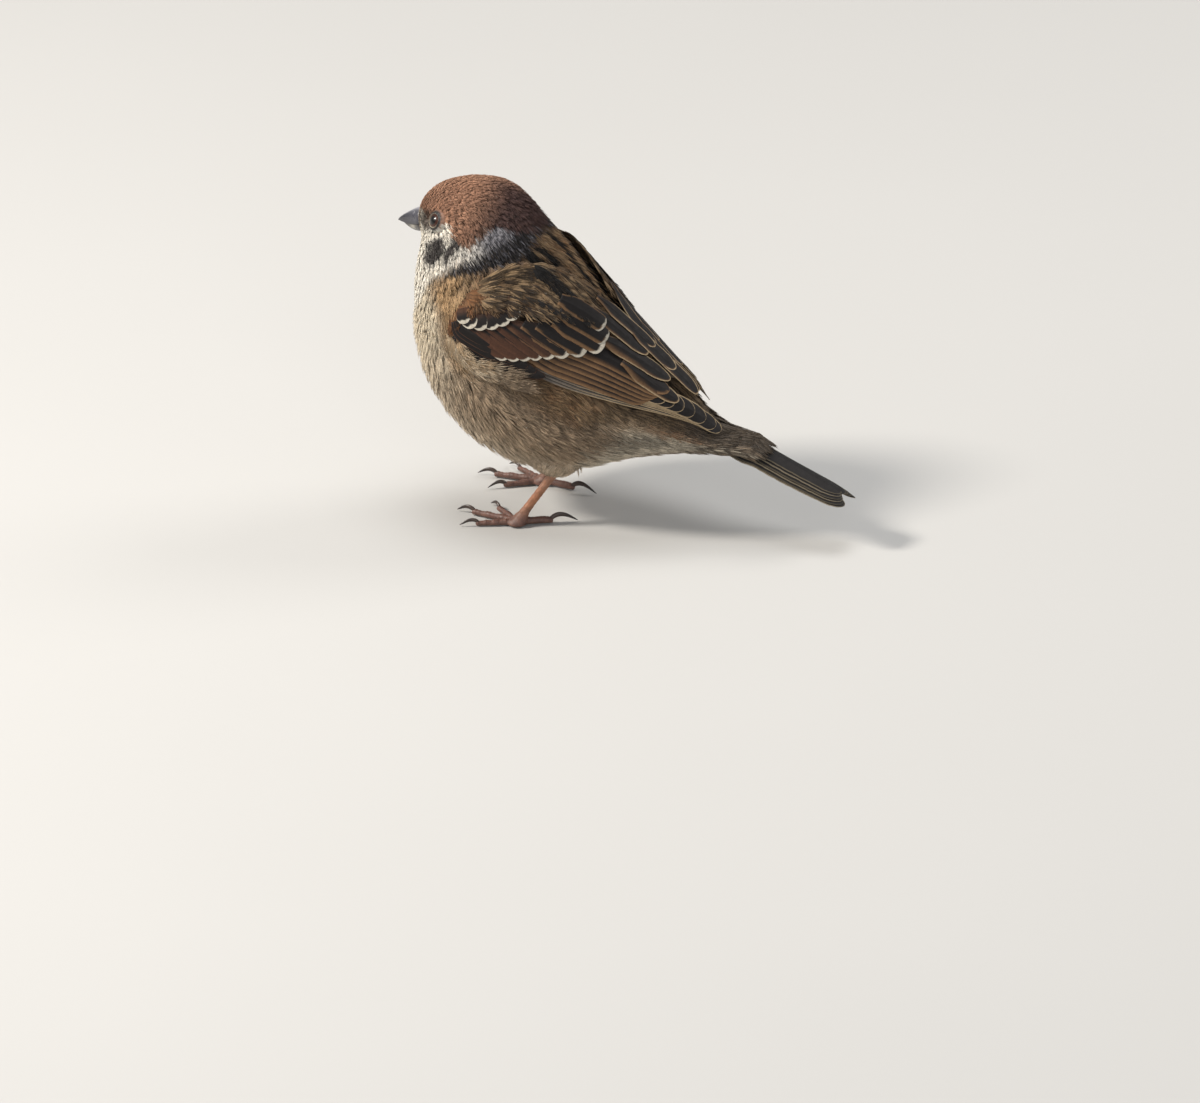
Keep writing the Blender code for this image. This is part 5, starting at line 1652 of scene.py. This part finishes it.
def skin():
    u = LAST * np.linspace(0.0, 1.0, 150) ** 1.06
    v = np.linspace(-np.pi, np.pi, 128, endpoint=False)
    uu, vv = u[:, None] + 0 * v, v[None, :] + 0 * u[:, None]
    p, n, _, _, depth = body_sheet.read(uu, vv)
    w = degrees_from_back(vv)
    fold = 0.10 * np.sin(uu * 5 + 3 * np.sin(3 * vv)) * smoothstep((uu - 4) / 2)
    p = p - n * (depth + 0.05 + 0.4 * fold)[..., None]
    ob = raw_object("skin_body", *closed_tube(p))
    for s in "LR":
        thigh = [thigh_surface(s, f, np.linspace(-math.pi, math.pi, 40, endpoint=False), -1.3) for f in np.linspace(0.12, math.pi - 0.12, 24)]
        combine(ob, raw_object("thigh", *closed_tube(np.array(thigh))), "UNION")
        combine(ob, leg(s), "UNION")
        combine(ob, ball_mesh(EYES[s][0], EYE_RADIUS + 0.1), "DIFFERENCE")
        combine(ob, lid(s), "UNION")
    me = ob.data
    n = len(me.vertices)
    co = np.empty(n * 3, np.float32)
    me.vertices.foreach_get("co", co)
    co = co.reshape(-1, 3).astype(float)
    # nearest place on the body's sheet gives the markings under the coat
    tree = kdtree.KDTree((NU // 3 + 1) * (NV // 4))
    gi, gj = np.arange(0, NU, 3), np.arange(0, NV, 4)
    k = 0
    for i in gi:
        for j in gj:
            tree.insert(BODY[i, j], k)
            k += 1
    tree.balance()
    idx = np.array([tree.find(x)[1] for x in co])
    uu, vv = GRID_U[gi[idx // len(gj)]], GRID_V[gj[idx % len(gj)]]
    col = inks(uu, degrees_from_back(vv), 9)["main"] * 0.6
    legs = smoothstep((13.6 - co[:, 2]) / 1.2)
    r = np.random.default_rng(12)
    # the shank darkens toward the toes, partly their own darker colour and partly painted shade
    shank = mix(np.broadcast_to(rgb(142, 100, 76), (n, 3)), np.broadcast_to(rgb(108, 77, 66), (n, 3)), smoothstep((5.0 - co[:, 2]) / 4.0))
    shank = mix(shank, np.broadcast_to(rgb(158, 102, 68), (n, 3)), 0.6 * band(co[:, 2], 5.0, 9.0, 2.5))
    # painted shade: the skin within half a millimetre of the floor is darkest
    under = smoothstep((0.5 - co[:, 2]) / 0.4)
    shank = mix(shank, np.broadcast_to(rgb(104, 80, 64), (n, 3)), under)
    col = mix(col, shank, legs)
    rim = np.zeros(n)
    for c, look in EYES.values():
        d = co - c
        along = (d * look).sum(-1)
        off = np.linalg.norm(d - along[:, None] * look, axis=-1)
        near = (along > 1.2) & (off < 3.1)
        ringed = np.exp(-(((off - 1.62) / 0.13) ** 2))
        turn = np.arctan2(d[:, 2], d[:, 1])
        broken = np.clip(0.52 - 0.48 * np.sin(turn + 0.5) + 0.18 * np.sin(26 * turn), 0, 1)
        dark = mix(np.broadcast_to(rgb(17, 14, 14), (n, 3)), np.broadcast_to(rgb(168, 154, 132), (n, 3)), ringed * broken)
        dark = mix(dark, col, smoothstep((off - 2.14) / 0.22))
        col = np.where(near[:, None], dark, col)
        rim = np.where(near, 1, rim)
    layer = me.color_attributes.new("Plumage", "FLOAT_COLOR", "POINT")
    layer.data.foreach_set("color", np.column_stack([np.clip(col, 0, 1), np.ones(n)]).astype(np.float32).ravel())
    mask = me.attributes.new("bare", "FLOAT", "POINT")
    mask.data.foreach_set("value", np.maximum(legs, rim).astype(np.float32))
    me.vertices.foreach_set("co", to_frame(co).astype(np.float32).ravel())
    me.polygons.foreach_set("use_smooth", np.ones(len(me.polygons), bool))
    me.update()
    ob.name = me.name = "skin"

    m, t, s = new_material("skin")
    ink = node(t, "ShaderNodeAttribute", attribute_name="Plumage")
    bare = node(t, "ShaderNodeAttribute", attribute_name="bare")
    blotch = remap(t, noise(t, 900.0, 4.0), 0.3, 0.7, 0.72, 1.22)
    fine = remap(t, noise(t, 5200.0, 2.0), 0.3, 0.7, 0.86, 1.12)
    t.links.new(scaled(t, ink.outputs["Color"], math_node(t, "MULTIPLY", blotch, fine)), s.inputs["Base Color"])
    cells_tex = node(t, "ShaderNodeTexVoronoi", Scale=3800.0, feature="DISTANCE_TO_EDGE")
    t.links.new(node(t, "ShaderNodeTexCoord").outputs["Object"], cells_tex.inputs["Vector"])
    grain = math_node(t, "ADD", remap(t, cells_tex.outputs["Distance"], 0.0, 0.12, 0.0, 1.0), noise(t, 2500.0, 3.0))
    bump = node(t, "ShaderNodeBump", Strength=0.35, Distance=0.00005)
    t.links.new(grain, bump.inputs["Height"])
    t.links.new(bump.outputs["Normal"], s.inputs["Normal"])
    rough = remap(t, noise(t, 1500.0, 2.0), 0.3, 0.7, 0.36, 0.58)
    dry = math_node(t, "MULTIPLY", math_node(t, "SUBTRACT", 1.0, bare.outputs["Fac"]), 0.35)
    t.links.new(math_node(t, "ADD", rough, dry), s.inputs["Roughness"])
    s.inputs["Subsurface Weight"].default_value = 0.06
    s.inputs["Subsurface Scale"].default_value = 0.0006
    me.materials.clear()
    me.materials.append(m)
    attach(ob, "root")
    names = ["head", "neck", "trunk", "rump"]
    for side in "LR":
        names += ["thigh_" + side, "tarsus_" + side] + [f"toe_{row[0]}_{side}" for row in TOES[side]]
    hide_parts(*names)
    counts["skin"] = sum(len(p.vertices) - 2 for p in me.polygons)
    return ob


made["skin"] = skin()


# ---- horn: bill and claws


def plain_piece(name, v, faces, material, nodes, colours=None, smooth=True):
    ob = raw_object(name, to_frame(v), faces)
    me = ob.data
    me.polygons.foreach_set("use_smooth", np.full(len(me.polygons), smooth))
    if colours is not None:
        layer = me.color_attributes.new("Horn", "FLOAT_COLOR", "POINT")
        layer.data.foreach_set("color", np.column_stack([np.clip(colours, 0, 1), np.ones(len(colours))]).astype(np.float32).ravel())
    me.materials.append(material)
    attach(ob, "root")
    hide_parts(*nodes)
    counts[name] = sum(len(p.vertices) - 2 for p in me.polygons)
    made[name] = ob
    return ob


def horn_material(name, rough, coat):
    m, t, s = new_material(name)
    ink = node(t, "ShaderNodeAttribute", attribute_name="Horn")
    coords = node(t, "ShaderNodeTexCoord").outputs["Object"]
    stretch = node(t, "ShaderNodeMapping")
    stretch.inputs["Scale"].default_value = (1.0, 0.16, 1.0)
    t.links.new(coords, stretch.inputs["Vector"])
    grain = noise(t, 2600.0, 3.0, vector=stretch.outputs[0])
    blotch = noise(t, 800.0, 2.0)
    factor = math_node(t, "MULTIPLY", remap(t, grain, 0.3, 0.7, 0.80, 1.18), remap(t, blotch, 0.3, 0.7, 0.88, 1.10))
    t.links.new(scaled(t, ink.outputs["Color"], factor), s.inputs["Base Color"])
    bump = node(t, "ShaderNodeBump", Strength=0.25, Distance=0.00004)
    t.links.new(grain, bump.inputs["Height"])
    t.links.new(bump.outputs["Normal"], s.inputs["Normal"])
    t.links.new(remap(t, blotch, 0.3, 0.7, rough - 0.06, rough + 0.08), s.inputs["Roughness"])
    s.inputs["Coat Weight"].default_value = coat
    s.inputs["Coat Roughness"].default_value = 0.25
    return m


bill_mat = horn_material("bill_horn", 0.32, 0.30)
claw_mat = horn_material("claw_horn", 0.40, 0.15)


def bill(upper):
    steps, sides = 44, 48
    axis = BILL_TIP - BILL_ROOT
    size = np.linalg.norm(axis)
    along = axis / size
    up = np.array([0.0, -along[2], along[1]])
    up = up if up[2] > 0 else -up
    reach = size if upper else size - 0.9
    g = 2 * np.pi * np.arange(sides) / sides
    x, h = np.sin(g), np.cos(g)
    rings, cols = [], []
    for i in range(steps + 1):
        f = (i / steps) ** 0.8
        d = -0.9 + (reach + 0.9) * f  # starts under the feathers
        k = max(0.0, d / reach)
        w = BILL_HALF_WIDTH * (1 - k) ** 0.72 * (1 - 0.12 * k) + 0.10
        deep = (BILL_UP if upper else BILL_DOWN) * (1 - k**1.7) ** (0.95 if upper else 1.0) + 0.06
        edge = -0.35 * math.sin(math.pi * min(1, k * 1.1)) - (0.25 * k**3 if upper else 0)
        # sides swell below the ridge; the upper half overhangs the lower one
        full = np.abs(x) ** 0.85 * np.sign(x)
        if upper:
            y = np.where(h > 0, np.abs(h) ** 0.9 * deep, h * 0.16) + 0.06
            ww = w * (1.0 + 0.02 * np.cos(g * 2))
        else:
            y = np.where(h < 0, -np.abs(h) ** 0.95 * deep, h * 0.12) - 0.06
            ww = w * 0.94
        ridge = 0.10 * np.exp(-((x / 0.16) ** 2)) * (h > 0) * (1 - k) if upper else 0
        ring = BILL_ROOT + along * d + up[None, :] * (y + edge + ridge)[:, None]
        ring = ring + np.array([1.0, 0, 0]) * (ww * full)[:, None]
        if upper:  # nostrils, half hidden at the base
            for sx in (1, -1):
                pit = np.exp(-(((d - 1.0) / 0.42) ** 2)) * np.exp(-(((x * sx - 0.62) / 0.16) ** 2)) * (h > 0)
                ring = ring - 0.32 * pit[:, None] * np.array([sx * 0.9, 0, 0.3])
        rings.append(ring)
        # pale is a painted highlight colour; slate and dark are the horn's own
        slate, dark, pale = rgb(64, 63, 71), rgb(28, 27, 30), rgb(188, 187, 192)
        c = mix(np.broadcast_to(dark, (sides, 3)), np.broadcast_to(slate, (sides, 3)), 0.35 + 0.65 * smoothstep((0.75 - k) / 0.7) + 0 * x)
        # painted highlight: a pale stripe down the ridge of the upper half, fading toward the tip
        if upper:
            c = mix(c, np.broadcast_to(pale, c.shape), 0.75 * np.exp(-((x / 0.36) ** 2)) * (h > 0) * (1 - k))
        else:
            c = mix(c, np.broadcast_to(rgb(68, 62, 54), c.shape), 0.7)
            c = mix(c, np.broadcast_to(rgb(186, 180, 166), c.shape), 0.75 * np.exp(-(((k - 0.30) / 0.14) ** 2)) * (h > -0.5) * (h < 0.3))
        rim = np.exp(-((h / 0.16) ** 2))
        c = c * (1 - 0.35 * rim)[:, None]
        cols.append(c)
    rings = turn_head(np.array(rings))
    v, faces = closed_tube(rings, tip=turn_head((BILL_ROOT + along * (reach + 0.02) + up * (-0.35 * math.sin(math.pi) - (0.22 if upper else -0.0)))[None])[0])
    cols = np.concatenate([np.array(cols).reshape(-1, 3), [cols[0][0]], [cols[-1][0]]])
    name = "bill_upper" if upper else "bill_lower"
    plain_piece("horn_" + name, v, faces, bill_mat, [name], cols)


bill(True)
bill(False)


def claw(side, row):
    name, bearing, reach, half, size = row
    d = toe_bearing(side, bearing)
    side_dir = np.array([-d[1], d[0], 0.0])
    c0 = np.array([*FEET[side], 0.0])
    h_end = TOE_HEIGHT * (half / 0.84) * 0.75
    k = np.linspace(0, 1, 26)
    top = h_end * (1.0 - k**1.8) + (CLAW_ARCH * size / 5) * np.sin(np.pi * k**0.8) + 0.35 * k
    low = np.maximum(0.10, 0.25 + (CLAW_ARCH * 1.15 * size / 5) * np.sin(np.pi * k**0.9) * (1 - k) ** 0.3)
    low = np.minimum(low, top - 0.42 * (1 - k) - 0.10)
    w = half * 0.78 * 0.72 * (1 - 0.80 * k)
    a = 2 * np.pi * np.arange(20) / 20
    rings, cols = [], []
    for i in range(len(k)):
        mid, r = 0.5 * (top[i] + low[i]), 0.5 * (top[i] - low[i])
        # keeled above, narrower below
        z = mid + r * np.cos(a) + 0.05 * np.exp(-((np.sin(a) / 0.3) ** 2)) * (np.cos(a) > 0) * (1 - k[i])
        x = w[i] * np.sin(a) * np.where(np.cos(a) < -0.3, 0.82, 1.0)
        c = c0 + d * (reach - 0.35 + (size + 0.35) * k[i])
        rings.append(np.stack([c[0] + side_dir[0] * x, c[1] + side_dir[1] * x, z], -1))
        cols.append(np.broadcast_to(rgb(74, 58, 50) * (1 - k[i]) + rgb(34, 28, 26) * k[i], (20, 3)))
    v, faces = closed_tube(np.array(rings), tip=c0 + d * (reach + size) + np.array([0, 0, 0.5 * (top[-1] + low[-1])]))
    cols = np.concatenate([np.array(cols).reshape(-1, 3), [cols[0][0]], [cols[-1][0]]])
    plain_piece(f"horn_claw_{name}_{side}", v, faces, claw_mat, [f"claw_{name}_{side}"], cols)


for _side in "LR":
    for _row in TOES[_side]:
        claw(_side, _row)


# ---- eyes


def eye_material():
    m, t, s = new_material("eye_gloss")
    ink = node(t, "ShaderNodeAttribute", attribute_name="Horn")
    mottle = remap(t, noise(t, 2600.0, 3.0), 0.3, 0.7, 0.75, 1.25)
    t.links.new(scaled(t, ink.outputs["Color"], mottle), s.inputs["Base Color"])
    s.inputs["Roughness"].default_value = 0.30
    s.inputs["Specular IOR Level"].default_value = 0.25
    s.inputs["Coat Weight"].default_value = 0.35
    s.inputs["Coat Roughness"].default_value = 0.06
    s.inputs["Coat IOR"].default_value = 1.42
    return m


eye_mat = eye_material()
for _side in "LR":
    _c, _look = EYES[_side]
    _e1 = unit(np.cross(_look, np.array([0, 0, 1.0])))
    _e2 = np.cross(_look, _e1)
    _a = 2 * np.pi * np.arange(56) / 56
    _rings, _cols = [], []
    for _i in range(1, 44):
        _f = math.pi * _i / 44
        _r = EYE_RADIUS - 0.06
        _off, _far = _r * math.sin(_f), _r * math.cos(_f)
        if _f < math.pi / 2:
            _far += 0.10 * math.exp(-((_off / 1.1) ** 2))  # cornea
        _rings.append(_c + _look * _far + _e1 * (_off * np.cos(_a))[:, None] + _e2 * (_off * np.sin(_a))[:, None])
        _pupil = smoothstep((0.98 - _off) / 0.12 + 0.5) if _f < math.pi / 2 else 0
        _ring = np.exp(-(((_off - 1.45) / 0.35) ** 2))
        _iris = rgb(68, 38, 28) * (0.55 + 0.45 * float(_ring))
        _cols.append(np.broadcast_to(_iris * (1 - _pupil) + rgb(8, 7, 7) * _pupil, (56, 3)))
    _v, _faces = closed_tube(np.array(_rings))
    _v[-2] = _c + _look * (EYE_RADIUS + 0.04)
    _cc = np.concatenate([np.array(_cols).reshape(-1, 3), [rgb(8, 7, 7)], [_cols[-1][0]]])
    plain_piece("eyeball_" + _side, _v, _faces, eye_mat, ["eye_" + _side], _cc)


# ---- floor, light and camera


def stage():
    m, t, s = new_material("floor")
    tone = node(t, "ShaderNodeMix", data_type="RGBA")
    tone.inputs["A"].default_value = (0.50, 0.49, 0.47, 1)
    tone.inputs["B"].default_value = (0.54, 0.53, 0.51, 1)
    t.links.new(noise(t, 3.0, 3.0), tone.inputs["Factor"])
    t.links.new(tone.outputs["Result"], s.inputs["Base Color"])
    s.inputs["Roughness"].default_value = 0.85
    me = bpy.data.meshes.new("floor")
    n = 64
    a = 2 * np.pi * np.arange(n) / n
    me.from_pydata([(0, 0, -0.0002)] + [(8 * math.cos(x), 8 * math.sin(x), -0.0002) for x in a], [], [(0, 1 + i, 1 + (i + 1) % n) for i in range(n)])
    me.materials.append(m)
    ob = bpy.data.objects.new("floor", me)
    bpy.context.scene.collection.objects.link(ob)

    world = bpy.data.worlds.new("studio")
    world.use_nodes = True
    world.node_tree.nodes["Background"].inputs["Color"].default_value = (0.92, 0.95, 1.0, 1)
    world.node_tree.nodes["Background"].inputs["Strength"].default_value = 0.28
    bpy.context.scene.world = world

    def lamp(name, place, size, power, colour):
        data = bpy.data.lights.new(name, "AREA")
        data.shape, data.size, data.energy, data.color = "DISK", size, power, colour
        lo = bpy.data.objects.new(name, data)
        lo.location = place
        aim = Vector((0, -0.01, 0.04)) - Vector(place)
        lo.rotation_euler = aim.to_track_quat("-Z", "Y").to_euler()
        bpy.context.scene.collection.objects.link(lo)

    lamp("key", (0.42, -0.86, 0.80), 0.24, 17.0, (1.0, 0.95, 0.88))
    lamp("fill", (1.1, 0.5, 0.55), 0.9, 3.8, (0.93, 0.96, 1.0))
    lamp("back", (-0.7, 0.75, 0.8), 0.6, 5.2, (1.0, 0.98, 0.95))
    lamp("top", (-0.15, -0.05, 1.2), 0.7, 6.5, (1.0, 1.0, 1.0))

    right = np.array([-0.3090, 0.9511, 0.0])
    up = np.array([-0.3868, -0.1257, 0.9135])
    back = np.array([0.8688, 0.2823, 0.4067])
    aim = to_frame(np.array([0, 1.0, 1.5]) + 15.35 * right - 12.44 * up)
    cam = bpy.data.cameras.new("camera")
    cam.sensor_width, cam.sensor_fit = 36.0, "HORIZONTAL"
    far = 3.0
    cam.lens = 36.0 * far / (1200 / 4.3 / 1000)
    cam.clip_start, cam.clip_end = 0.1, 30.0
    co = bpy.data.objects.new("camera", cam)
    z = Vector(back).normalized()
    x = Vector(right)
    x = (x - z * x.dot(z)).normalized()
    y = z.cross(x)
    co.matrix_world = Matrix.Translation(Vector(aim + np.array(z) * far)) @ Matrix((x, y, z)).transposed().to_4x4()
    bpy.context.scene.collection.objects.link(co)
    bpy.context.scene.camera = co
    bpy.context.scene.view_settings.view_transform = "Standard"


stage()

print("TRIANGLES", sum(counts.values()), json.dumps(counts))
